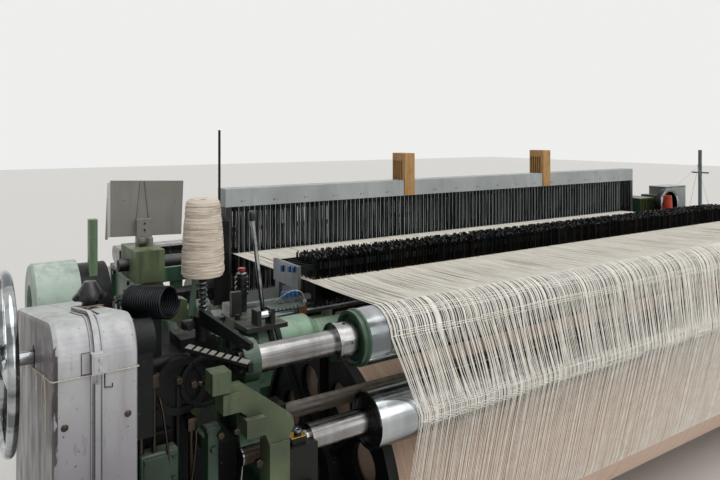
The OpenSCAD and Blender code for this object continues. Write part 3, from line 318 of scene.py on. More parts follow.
@dataclass(frozen=True)
class GuardPaint(Painted):
    """Thin grey-lilac paint on a sheet guard, worn to the sheet along its corner.

    The eye sees a pale front, an outer side darkened to brown by painted shade and streaked, scuffs
    that run down it, and dark chips all along the corner between the two.
    """

    # painted shade: the brown laid on the outer face, which turns to -X, and how much of it
    side: str = "#4a4045"
    side_shade_share: float = 0.94
    streak: str = "#352c2e"
    lower: str = "#5f5d62"
    lower_share: float = 0.66
    scuff: str = "#6b6468"
    speck: str = "#2b2626"
    bare_sheet: str = "#2a2424"
    rust: str = "#74604f"
    corner_low: Corner = (-2199.0, -1052.0, 80.0)
    corner_high: Corner = (-2188.5, -1038.0, 1262.0)
    rust_low: Corner = (-2112.0, -830.0, 1180.0)
    rust_high: Corner = (-2053.0, -610.0, 1262.0)

    def coat(self, tree: bpy.types.NodeTree) -> bpy.types.NodeSocket:
        """The pale front, the side browned by painted shade, streaks, chipped corner and the rust under the knob.

        Args:
            tree: The material's node tree.

        Returns:
            The socket that carries the coat's colour.
        """
        tone = super().coat(tree)
        # painted shade: faces that turn to -X get the side's dark brown
        normal = add(tree, "ShaderNodeNewGeometry").outputs["Normal"]
        facing = add(tree, "ShaderNodeSeparateXYZ", {}, {0: normal}).outputs[0]
        shaded_side = add(tree, "ShaderNodeMapRange", {1: -0.6, 2: -0.95, 3: 0.0, 4: 1.0}, {0: facing}).outputs[0]
        tone = self.over(tree, shaded_side, tone, self.side, self.side_shade_share)
        streaks = self.patches(tree, 16, 0.52, 0.66, (1, 1, 0.05), 23.0)
        dark = add(tree, "ShaderNodeMath", {"operation": "MULTIPLY"}, {0: streaks, 1: shaded_side}).outputs[0]
        tone = self.over(tree, dark, tone, self.streak, 0.75)
        place = add(tree, "ShaderNodeTexCoord").outputs["Object"]
        height = add(tree, "ShaderNodeSeparateXYZ", {}, {0: place}).outputs[2]
        low = add(tree, "ShaderNodeMapRange", {1: 1.20, 2: 0.95, 3: 0.0, 4: 1.0}, {0: height}).outputs[0]
        tone = self.over(tree, low, tone, self.lower, self.lower_share)
        scuffs = self.patches(tree, 9, 0.66, 0.72, (1, 1, 0.22), 29.0)
        tone = self.over(tree, scuffs, tone, self.scuff, 0.38)
        specks = self.patches(tree, 4, 0.71, 0.73, (1, 1, 0.5), 31.0)
        tone = self.over(tree, specks, tone, self.speck, 0.85)
        wear = self.patches(tree, 13, 0.44, 0.50, (1, 1, 0.4), 37.0)
        corner = self.inside(tree, self.corner_low, self.corner_high)
        chipped = add(tree, "ShaderNodeMath", {"operation": "MULTIPLY"}, {0: wear, 1: corner}).outputs[0]
        tone = self.over(tree, chipped, tone, self.bare_sheet)
        rust = self.patches(tree, 34, 0.40, 0.52, (1, 1, 1), 41.0)
        spot = self.inside(tree, self.rust_low, self.rust_high)
        rusty = add(tree, "ShaderNodeMath", {"operation": "MULTIPLY"}, {0: rust, 1: spot}).outputs[0]
        return self.over(tree, rusty, tone, self.rust, 0.9)


@dataclass(frozen=True)
class Bare(Finish):
    """Turned, drawn, ground or plated metal with an oil film.

    The eye sees bright metal with fine tool lines, brown film in patches and a few dull spots; on
    turned bars long dark bands of painted reflection run along it.
    """

    lie: Lie = Lie.EVEN
    line: float = 1.2
    line_depth: float = 0.12
    rough: float = 0.28
    film: str = "#6b5748"
    film_share: float = 0.4
    # painted reflection: colour, share and size of long dark bands along a bar
    reflection_band: str = "#3c3f43"
    reflection_band_share: float = 0.0
    reflection_band_size: float = 26.0

    def lay(self, tree: bpy.types.NodeTree, shader: bpy.types.Node) -> None:
        """Lays the metal, its tool lines and its film.

        Args:
            tree: The material's node tree.
            shader: Its Principled BSDF, whose inputs this finish feeds.
        """
        lie = self.lie.value
        tone = self.over(tree, self.patches(tree, 60, 0.35, 0.7, lie), self.colour, self.second)
        film = self.patches(tree, 110, 0.45, 0.72, (lie[0] * 0.6 + 0.1, 1, 1), 4.0)
        tone = self.over(tree, film, tone, self.film, self.film_share)
        if self.reflection_band_share:
            # painted reflection: the long light and dark bands that the mirrored hall leaves along a turned bar
            bands = self.patches(tree, self.reflection_band_size, 0.44, 0.58, Lie.X.value, 15.0)
            tone = self.over(tree, bands, tone, self.reflection_band, self.reflection_band_share)
        tree.links.new(tone, shader.inputs["Base Color"])
        shader.inputs["Metallic"].default_value = 1.0
        dull = self.patches(tree, 35, 0.3, 0.75, lie, 9.0)
        rough = add(tree, "ShaderNodeMapRange", {3: self.rough - 0.08, 4: self.rough + 0.14}, {0: dull}).outputs[0]
        tree.links.new(rough, shader.inputs["Roughness"])
        # real tool lines are 0.1 to 0.3 mm apart; they are drawn coarser so that they show
        lines = self.patches(tree, self.line, 0.2, 0.8, lie, 2.0)
        bump = add(tree, "ShaderNodeBump", {"Strength": self.line_depth, "Distance": 0.0004}, {"Height": lines})
        tree.links.new(bump.outputs[0], shader.inputs["Normal"])


@dataclass(frozen=True)
class Spun(Finish):
    """Spun cotton yarn, laid side by side.

    The eye sees dull cream threads with darker hollows between them and a light fuzz.
    """

    lie: Lie = Lie.Y
    thread: float = 3.0
    depth: float = 0.5

    def lay(self, tree: bpy.types.NodeTree, shader: bpy.types.Node) -> None:
        """Lays thread lines, slubs and a fuzz that catches light.

        Args:
            tree: The material's node tree.
            shader: Its Principled BSDF, whose inputs this finish feeds.
        """
        lie = self.lie.value
        threads = self.patches(tree, self.thread, 0.32, 0.62, lie)
        tone = self.over(tree, threads, self.second, self.colour)
        wide = self.patches(tree, 90, 0.4, 0.7, lie, 6.0)
        tone = self.over(tree, wide, tone, self.second, 0.25)
        slub = self.patches(tree, 6, 0.64, 0.74, (1, 1, 1), 8.0)
        tone = self.over(tree, slub, tone, "#f4f0e8", 0.4)
        tree.links.new(tone, shader.inputs["Base Color"])
        shader.inputs["Roughness"].default_value = 0.92
        shader.inputs["Sheen Weight"].default_value = 0.18
        shader.inputs["Sheen Roughness"].default_value = 0.5
        shader.inputs["Specular IOR Level"].default_value = 0.25
        bump = add(tree, "ShaderNodeBump", {"Strength": self.depth, "Distance": 0.0012}, {"Height": threads})
        tree.links.new(bump.outputs[0], shader.inputs["Normal"])


@dataclass(frozen=True)
class Bulk(Finish):
    """Wood, rubber, card or moulded plastic, coloured right through.

    The eye sees an even body colour with a drawn-out grain and a handled, uneven gloss.
    """

    lie: Lie = Lie.EVEN
    grain: float = 3.0
    rough: float = 0.5
    depth: float = 0.15

    def lay(self, tree: bpy.types.NodeTree, shader: bpy.types.Node) -> None:
        """Lays the grain and the handling marks.

        Args:
            tree: The material's node tree.
            shader: Its Principled BSDF, whose inputs this finish feeds.
        """
        lie = self.lie.value
        grain = self.patches(tree, self.grain, 0.35, 0.68, lie)
        tone = self.over(tree, grain, self.colour, self.second)
        hands = self.patches(tree, 40, 0.5, 0.75, (1, 1, 1), 5.0)
        tone = self.over(tree, hands, tone, "#2a2520", 0.22)
        tree.links.new(tone, shader.inputs["Base Color"])
        rough = add(tree, "ShaderNodeMapRange", {3: self.rough - 0.1, 4: self.rough + 0.12}, {0: hands}).outputs[0]
        tree.links.new(rough, shader.inputs["Roughness"])
        bump = add(tree, "ShaderNodeBump", {"Strength": self.depth, "Distance": 0.0005}, {"Height": grain})
        tree.links.new(bump.outputs[0], shader.inputs["Normal"])


# machine enamels: alkyd paint brushed over cast iron, gone dull and oily
GREEN = Painted("machine enamel, mid green", "green_paint", "#2d4c39", "#3d624b", grime="#10130f", grime_share=0.75,
                lint_and_lit_top="#6f7a6c", lint_and_lit_top_share=0.3)
PALE_GREEN = Painted("machine enamel, pale green", "pale_green_paint", "#7d9f85", "#93b498", grime="#39453a",
                     grime_share=0.5, chip="#4d4a3c", rough=0.34)
COVER_GREEN = Painted("machine enamel, grey green", "pale_green_paint", "#93a598", "#a8b9ab", grime="#55645a",
                      grime_share=0.5, lint_and_lit_top="#d3dad2", lint_and_lit_top_share=0.7)
DARK_GREEN = Painted("machine enamel, dark green", "dark_green_paint", "#1d3828", "#2a4c38", grime="#0c0f0c",
                     grime_share=0.6, rough=0.32)
SEAT_LOW, SEAT_HIGH = (-1736.0, -720.0, 1030.0), (-1540.0, -440.0, 1260.0)
# one casting group in several paints: black lever seat, dark bar ends and a pale green post
OLIVE = Painted("machine enamel, olive green", "green_paint", "#536145", "#66744f", grime="#1c2018", grime_share=0.75,
                chip="#35301f", lint_and_lit_top="#8f9480", zones=(
                    (SEAT_LOW, SEAT_HIGH, "#101212"), ((-1845.0, -450.0, 1215.0), (-1640.0, -410.0, 1260.0), "#15181b"),
                    ((-1960.0, -450.0, 1215.0), (-1924.5, -410.0, 1260.0), "#15181b"),
                    ((-2010.0, -330.0, 1000.0), (-1975.0, -285.0, 1370.0), "#7f9a78")))
# sand-cast iron, unpainted, black with oil and lint
CASTING = Painted("oiled cast iron", "dark_casting", "#0b0e0e", "#181c1b", chip="#5d5850", chip_level=0.73,
                  grime="#060707", grime_share=0.5, rough=0.44, grain=1.8, grain_depth=0.6, lint_and_lit_top="#4a4b46",
                  lint_and_lit_top_share=0.16, gloss=0.2)
# the same black iron, with the stand's stay and plate in green
STAND = Painted("green and black cone stand", "dark_casting", "#0d1010", "#1a1e1d", chip="#5d5850", lint_and_lit_top="#5a5b55",
                lint_and_lit_top_share=0.25, zones=(((-1875.0, -756.0, 1161.0), (-1834.5, -744.0, 1262.0), "#2c4a35"),
                                        ((-1852.0, -780.0, 1250.0), (-1796.0, -720.0, 1262.0), "#33523c")))
# stoved black paint on castings and small fittings: deep, even and only a little glossy
BLACK = Painted("black stoving paint", "black_paint", "#0b0c0d", "#17191a", chip="#4b4844", rough=0.34,
                lint_and_lit_top="#4a4946", lint_and_lit_top_share=0.14, gloss=0.25)
# thin grey paint on pressed sheet, handled and scuffed down to the metal; its pale top is partly lint
# and partly a painted lit top, and its outer side is darkened by painted shade
GUARD = GuardPaint("grey guard paint on sheet", "guard_paint", "#a9a8ad", "#b9b9bc", grime="#7b7277", grime_share=0.45,
                   chip="#332d2d", chip_level=0.76, rough=0.36, grain=5.0, grain_depth=0.12, lint_and_lit_top="#cbd2cb",
                   lint_and_lit_top_share=0.75, zones=(((-2053.5, -760.0, 190.0), (-2020.0, -480.0, 1015.0), "#101212"),))
# drawn tube and cabinets: one rusty and greasy, the other pale grey and whitish on what faces up
BROWN_TUBE = Painted("rust-brown drawn tube", "tube_brown", "#4b4036", "#5f5144", chip="#7b6a5a", rough=0.4,
                     grime="#15120f", grime_share=0.7)
GREY_BOX = Painted("grey cabinet paint", "plate_steel", "#8d918f", "#a0a3a1", grime="#4b4c49", grime_share=0.35,
                   lint_and_lit_top="#d8d8d3", lint_and_lit_top_share=0.7)
WEFT_GREEN = Painted("machine enamel, weft side", "dark_green_paint", "#24402e", "#32573f", grime="#0d100d",
                     grime_share=0.65, zones=(((1795.0, 228.0, 1086.5), (2052.0, 354.0, 1240.0), "#8d918f"),
                                              ((2077.0, 130.0, 764.0), (2103.0, 170.0, 1490.0), "#7d8688")))
RUST = Painted("rusted sheet", "tube_brown", "#6d5443", "#7d6550", chip="#2d2019", chip_level=0.6, rough=0.7)
# ground and turned steel with an oil film; the bright steel also has long dark bands of painted reflection
BRIGHT = Bare("turned bright steel", "bright_steel", "#a9a9a9", "#7f7d7b", Lie.AROUND_X, 1.6, 0.12, 0.24, "#4a3a32",
              0.5, "#2b2826", 0.75, 24.0)
DARK_STEEL = Bare("oil-browned steel", "bright_steel", "#4c443d", "#332d29", Lie.AROUND_X, 1.6, 0.15, 0.32, "#1d1815",
                  0.5)
PLATE = Bare("dull rolled plate", "plate_steel", "#84827d", "#6a6863", Lie.EVEN, 2.0, 0.1, 0.46, "#4b443c", 0.5)
# bare sheet gone grey-brown; the wire loop on it is bright
SHEET = Painted("bare grey-brown sheet", "plate_steel", "#7d7a73", "#8b8982", grime="#565249", grime_share=0.4,
                chip="#3f3b35", rough=0.5, grain=6.0, grain_depth=0.1,
                zones=(((-1970.0, -400.0, 1300.0), (-1961.6, -380.0, 1480.0), "#c9cac6"),))
# hard chrome plate with an oil film and long dark bands of painted reflection
CHROME = Bare("hard chrome plate", "chrome", "#c3c7c9", "#a3a8ab", Lie.AROUND_X, 2.5, 0.03, 0.14, "#6b5c56", 0.35,
              "#3b4044", 0.7, 46.0)
# wire, yellow metal and drawn sections, each darkened or dulled where oil and lint have settled
SPRING = Bare("oil-blackened spring wire", "spring_steel", "#2e3134", "#1b1d20", Lie.EVEN, 1.0, 0.2, 0.34, "#0e0e0f",
              0.5)
BRASS = Bare("brass", "bright_steel", "#b08d46", "#8f7238", Lie.EVEN, 1.0, 0.1, 0.3, "#5b4726", 0.4)
ALUMINIUM = Painted("anodised aluminium section", "heald_aluminium", "#b9bfbf", "#a9afb0", grime="#6c6f6e",
                    grime_share=0.3, chip="#4a4a48", chip_level=0.75, rough=0.36, grain=4.0, grain_depth=0.06,
                    lint_and_lit_top="#dfe0da", lint_and_lit_top_share=0.5, zones=(
                        ((-1372.0, 240.0, 850.0), (-1344.0, 345.0, 1295.8), "#101112"),
                        ((1424.0, 240.0, 850.0), (1452.0, 345.0, 1295.8), "#101112")))
# thin flat harness wire: dark with oil, bright where yarn rubs it and as painted glints, brown where it has stood still
HARNESS_STEEL = Bare("blackened harness steel", "spring_steel", "#2c3134", "#1a1d1f", Lie.Z, 1.5, 0.1, 0.4, "#0c0c0d",
                     0.5)
WORN_STEEL_AND_GLINTS = Bare("worn harness steel and painted glints", "spring_steel", "#8f9599", "#6d7276", Lie.Z, 1.5, 0.1, 0.35, "#3b3a39", 0.4)
BROWN_STEEL = Bare("rust-brown drop wire", "spring_steel", "#4b3b2e", "#2f261f", Lie.Z, 2.0, 0.1, 0.45, "#1b1512", 0.5)
# cotton warp, cream; wound on the beam, the same yarn is coloured a darker, pinker brown as painted shade
WARP = Spun("cotton warp yarn", "warp_yarn", "#fbf8f1", "#efe9de", Lie.EVEN, 30.0, 0.05)
LEVEL = Spun("cotton warp yarn, level", "warp_yarn", "#f6f3ea", "#dad3c5", Lie.Y, 5.0, 0.12)
SHADED_WOUND = Spun("wound cotton warp in painted shade", "warp_yarn", "#d2b8a4", "#bd9f8a", Lie.AROUND_X, 3.6, 0.25)
WOVEN = Spun("plain-woven cotton cloth", "warp_yarn", "#ebe5d9", "#d2c8b7", Lie.EVEN, 1.6, 0.35)
CONE = Spun("wound cone yarn", "cone_yarn", "#ebe1d4", "#bfae9c", Lie.AROUND_Z, 3.4, 0.6)
TWINE = Spun("cotton twine", "string", "#dcd6c8", "#aba18f", Lie.EVEN, 1.2, 0.5)
# bought-in parts, coloured right through: matt rubber, dry wood, glossy plastic and dyed card
RUBBER = Bulk("belt rubber", "belt_rubber", "#161616", "#242322", Lie.EVEN, 2.0, 0.7)
WOOD = Bulk("planed beech block", "comb_wood", "#c79d63", "#a87c48", Lie.Z, 4.0, 0.55)
OLD_WOOD = Bulk("oiled wood block", "comb_wood", "#8a5a34", "#6b4325", Lie.X, 3.0, 0.6)
RED_PLASTIC = Bulk("moulded red plastic", "red_plastic", "#a0202a", "#8a1922", Lie.EVEN, 8.0, 0.3, 0.05)
BLUE_PLASTIC = Bulk("moulded blue plastic", "red_plastic", "#2d5e9e", "#264f86", Lie.EVEN, 8.0, 0.35, 0.05)
BLACK_PLASTIC = Bulk("moulded black plastic", "black_paint", "#101012", "#1b1b1e", Lie.EVEN, 6.0, 0.32, 0.08)
ORANGE_CARD = Bulk("dyed card tube", "red_plastic", "#c8482a", "#ad3a22", Lie.EVEN, 3.0, 0.6)


# -------------------------------------------------------------- mesh workshop


class Shape:
    """One mesh in the making, with the operators that this loom's pieces need."""

    def __init__(self) -> None:
        """Starts an empty mesh."""
        self.bm = bmesh.new()

    def block(self, low: Sequence[float], high: Sequence[float], round_by: float = 0.0, segments: int = 1) -> None:
        """Adds a block between two corners.

        Args:
            low: Its lowest corner in millimetres.
            high: Its highest corner in millimetres.
            round_by: Bevel of its edges in millimetres.
            segments: Steps of the bevel.
        """
        a, b = mm(*low), mm(*high)
        place = Matrix.Translation((a + b) / 2) @ Matrix.Diagonal((*(b - a), 1.0))
        made = bmesh.ops.create_cube(self.bm, size=1.0, matrix=place)["verts"]
        if round_by:
            edges = list({e for v in made for e in v.link_edges})
            bmesh.ops.bevel(self.bm, geom=edges, offset=round_by * MM, affect="EDGES", segments=segments,
                            profile=0.5, material=-1, clamp_overlap=True)

    def rod(self, start: Vector, end: Vector, r0: float, r1: float | None = None, sides: int = 24) -> None:
        """Adds a round bar, or a cone, between two points.

        Args:
            start: First end, in metres.
            end: Second end, in metres.
            r0: Radius at the first end in millimetres.
            r1: Radius at the second end, if it differs.
            sides: How many sides it has.
        """
        run = end - start
        turn = run.to_track_quat("Z", "Y").to_matrix().to_4x4()
        bmesh.ops.create_cone(self.bm, cap_ends=True, segments=sides, radius1=r0 * MM,
                              radius2=(r0 if r1 is None else r1) * MM, depth=run.length,
                              matrix=Matrix.Translation((start + end) / 2) @ turn)

    def lathe(self, profile: Outline, centre: Vector, axis: Vector, steps: int = 48) -> None:
        """Spins a profile of (radius, distance along) pairs, in millimetres, round an axis.

        Args:
            profile: The outline, from one end to the other.
            centre: A point on the axis in metres.
            axis: Unit vector of the axis.
            steps: How many steps a turn has.
        """
        out = axis.orthogonal().normalized()
        verts = [self.bm.verts.new(centre + axis * (a * MM) + out * (r * MM)) for r, a in profile]
        edges = [self.bm.edges.new(pair) for pair in zip(verts, verts[1:])]
        before = set(self.bm.faces)
        bmesh.ops.spin(self.bm, geom=verts + edges, cent=centre, axis=axis, angle=math.tau, steps=steps,
                       use_merge=True, use_normal_flip=False, use_duplicate=False)
        faces = [f for f in self.bm.faces if f not in before]
        bmesh.ops.remove_doubles(self.bm, verts=list({v for f in faces for v in f.verts}), dist=2e-6)
        faces = [f for f in self.bm.faces if f not in before]
        bmesh.ops.recalc_face_normals(self.bm, faces=faces)

    def plate(self, outline: Outline, thick: float, place: Matrix, round_by: float = 0.0) -> None:
        """Extrudes a flat outline.

        Args:
            outline: Corner points in millimetres.
            thick: Thickness in millimetres, along the place's own z.
            place: Where the outline's plane goes, in metres.
            round_by: Bevel of its edges in millimetres.
        """
        verts = [self.bm.verts.new(place @ mm(u, v, 0)) for u, v in outline]
        face = self.bm.faces.new(verts)
        grown = bmesh.ops.extrude_face_region(self.bm, geom=[face])["geom"]
        moved = [g for g in grown if isinstance(g, bmesh.types.BMVert)]
        bmesh.ops.translate(self.bm, verts=moved, vec=(place.to_3x3() @ Z_AXIS) * thick * MM)
        faces = list({f for v in verts + moved for f in v.link_faces})
        bmesh.ops.recalc_face_normals(self.bm, faces=faces)
        if round_by:
            edges = list({e for f in faces for e in f.edges})
            bmesh.ops.bevel(self.bm, geom=edges, offset=round_by * MM, affect="EDGES", segments=1, profile=0.5,
                            material=-1, clamp_overlap=True)

    def bolt(self, foot: Vector, axis: Vector, across: float = 19.0, high: float = 9.0) -> None:
        """Adds a hexagon head on its washer.

        Args:
            foot: Where the washer lies, in metres.
            axis: Unit vector in which the head stands up.
            across: Width across the flats in millimetres.
            high: Height of the head in millimetres.
        """
        turn = axis.to_track_quat("Z", "Y").to_matrix().to_4x4()
        base = Matrix.Translation(foot) @ turn
        bmesh.ops.create_cone(self.bm, cap_ends=True, segments=20, radius1=across * 0.62 * MM,
                              radius2=across * 0.6 * MM, depth=2 * MM, matrix=base @ Matrix.Translation((0, 0, MM)))
        head = bmesh.ops.create_cone(self.bm, cap_ends=True, segments=6, radius1=across / 1.732 * MM,
                                     radius2=across / 1.732 * MM, depth=high * MM,
                                     matrix=base @ Matrix.Translation((0, 0, (2 + high / 2) * MM)))["verts"]
        top = [edge for vert in head for edge in vert.link_edges
               if all((turn.inverted() @ (end.co - foot)).z > high * MM for end in edge.verts)]
        bmesh.ops.bevel(self.bm, geom=list(set(top)), offset=1.2 * MM, affect="EDGES", segments=1, profile=0.5,
                        material=-1, clamp_overlap=True)

    def bolts(self, feet: Sequence[Corner], axis: Vector, across: float, high: float) -> None:
        """Adds one hexagon head like bolt's at each of some feet, which are in millimetres."""
        for foot in feet:
            self.bolt(mm(*foot), axis, across, high)


def dress(node: bpy.types.Object, finish: Finish) -> None:
    """Gives a CAD node's object one finish on all its material slots."""
    if not node.material_slots:
        node.data.materials.append(finish.material())
    for slot in node.material_slots:
        slot.material = finish.material()


def show(name: str, mesh: bpy.types.Mesh, finish: Finish, body: str, crease: float = 35.0) -> bpy.types.Object:
    """Puts a finished mesh in the scene as a piece that rides a body.

    Args:
        name: The piece's name.
        mesh: Its mesh, in place.
        finish: Its finish.
        body: The CAD body that it rides, or nothing for a piece that lies between two bodies, which is left unattached.
        crease: Angle in degrees past which an edge stays sharp.

    Returns:
        The new object.
    """
    mesh.shade_smooth()
    mesh.set_sharp_from_angle(angle=math.radians(crease))
    mesh.materials.clear()
    mesh.materials.append(finish.material())
    piece = bpy.data.objects.new(name, mesh)
    bpy.context.scene.collection.objects.link(piece)
    if body:
        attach(piece, body)
    LOG.info("%s: %d faces on %s", name, len(mesh.polygons), body or "two bodies")
    return piece


def build(name: str, shape: Shape, finish: Finish, body: str, crease: float = 35.0) -> bpy.types.Object:
    """Turns a shape into a piece and frees its bmesh."""
    mesh = bpy.data.meshes.new(name)
    shape.bm.to_mesh(mesh)
    shape.bm.free()
    return show(name, mesh, finish, body, crease)


def wire(
    name: str,
    runs: Sequence[Sequence[Vector]],
    radius: float,
    finish: Finish,
    body: str,
    sides: int = 0,
    smooth: bool = False,
    closed: bool = False,
) -> bpy.types.Object:
    """Makes round wires, yarns or tubes along runs of points.

    Args:
        name: The piece's name.
        runs: One list of points, in metres, for each wire.
        radius: Wire radius in millimetres.
        finish: Its finish.
        body: The CAD body that it rides.
        sides: Bevel resolution; 0 gives four sides.
        smooth: Whether the points are joined by a smooth curve.
        closed: Whether each run is a closed loop.

    Returns:
        The new piece.
    """
    curve = bpy.data.curves.new(name, "CURVE")
    curve.dimensions = "3D"
    curve.bevel_depth = radius * MM
    curve.bevel_resolution = sides
    curve.use_fill_caps = not closed
    curve.resolution_u = 4
    for points in runs:
        spline = curve.splines.new("NURBS" if smooth else "POLY")
        spline.points.add(len(points) - 1)
        for place, point in zip(spline.points, points):
            place.co = (*point, 1.0)
        if smooth:
            spline.order_u = 4
            spline.use_endpoint_u = not closed
        spline.use_cyclic_u = closed
    rough = bpy.data.objects.new(name, curve)
    bpy.context.scene.collection.objects.link(rough)
    graph = bpy.context.evaluated_depsgraph_get()
    mesh = bpy.data.meshes.new_from_object(rough.evaluated_get(graph))
    bpy.data.objects.remove(rough)
    bpy.data.curves.remove(curve)
    return show(name, mesh, finish, body, 60.0)


def cord(name: str, points: Sequence[Vector], radius: float, finish: Finish) -> None:
    """Args:
        name: The piece's name.
        points: Its path, from where it leaves the loom.
        radius: Its radius in millimetres.
        finish: Its finish.
    """
    piece = wire(name, [points], radius, finish, "frame", 1)


def hanging(start: Vector, away: Vector, drop: float) -> list[Vector]:
    """The path of a limp end that leaves a point sideways and then hangs.

    Args:
        start: Where it leaves, in metres.
        away: How far it gets sideways, in metres.
        drop: How far it hangs, in metres.

    Returns:
        Its points.
    """
    steps = [k / 24 for k in range(25)]
    return [start + away * (1 - math.exp(-5 * t)) - Z_AXIS * drop * t for t in steps]


def arched(start: Vector, end: Vector, bow: Vector) -> list[Vector]:
    """The path of a springy end that arches between two points, with the middle of its arch moved by bow."""
    steps = [k / 24 for k in range(25)]
    return [start.lerp(end, t) + bow * 4 * t * (1 - t) for t in steps]


# ----------------------------------------------------------------- the layout


@dataclass(frozen=True)
class Roll:
    """A roller or winding that runs across the loom: its axis (y, z) and radius in millimetres."""

    y: float
    z: float
    r: float

    def rim(self, degrees: float, proud: float = 0.0) -> tuple[float, float]:
        """The point on its rim at an angle from +Y towards +Z, proud of it by some millimetres."""
        a = math.radians(degrees)
        return (self.y + (self.r + proud) * math.cos(a), self.z + (self.r + proud) * math.sin(a))


# the CAD model's rolls, the edge where cloth begins, and how the sheet narrows from the beam's yarn
# groups to the reed
BEAM = Roll(-500, 551, 372)
LOWER = Roll(-870, 851, 75)
UPPER = Roll(-847, 1064, 75)
TAKE_UP = Roll(830, 800, 90)
PRESS = Roll(714.5, 866, 40)
CLOTH_ROLL = Roll(834.5, 350, 160)
FELL = (590.0, 1087.0)
HALF_SHEET = 1312.0
GROUPS = 110
PITCH = 2 * HALF_SHEET / GROUPS
TOP_SPREAD = 1.0549
REED_SPREAD = 1.0183
HEALDS_Y = 236.0


def spread(y: float) -> float:
    """How much wider than on the beam the level sheet is at a distance y, in millimetres."""
    t = min(1.0, max(0.0, (y - UPPER.y) / (HEALDS_Y - UPPER.y)))
    return TOP_SPREAD + (REED_SPREAD - TOP_SPREAD) * t


def tangent(a: Roll, b: Roll, side: float) -> float:
    """The rim angle in degrees at which a yarn leaves one roll for the next, on the outer side.

    Args:
        a: The roll it leaves.
        b: The roll it goes to.
        side: 1 or -1, which of the two outer tangents.

    Returns:
        The angle that both touching points share.
    """
    dy, dz = b.y - a.y, b.z - a.z
    swing = math.acos(max(-1.0, min(1.0, (a.r - b.r) / math.hypot(dy, dz))))
    return math.degrees(math.atan2(dz, dy) + side * swing)


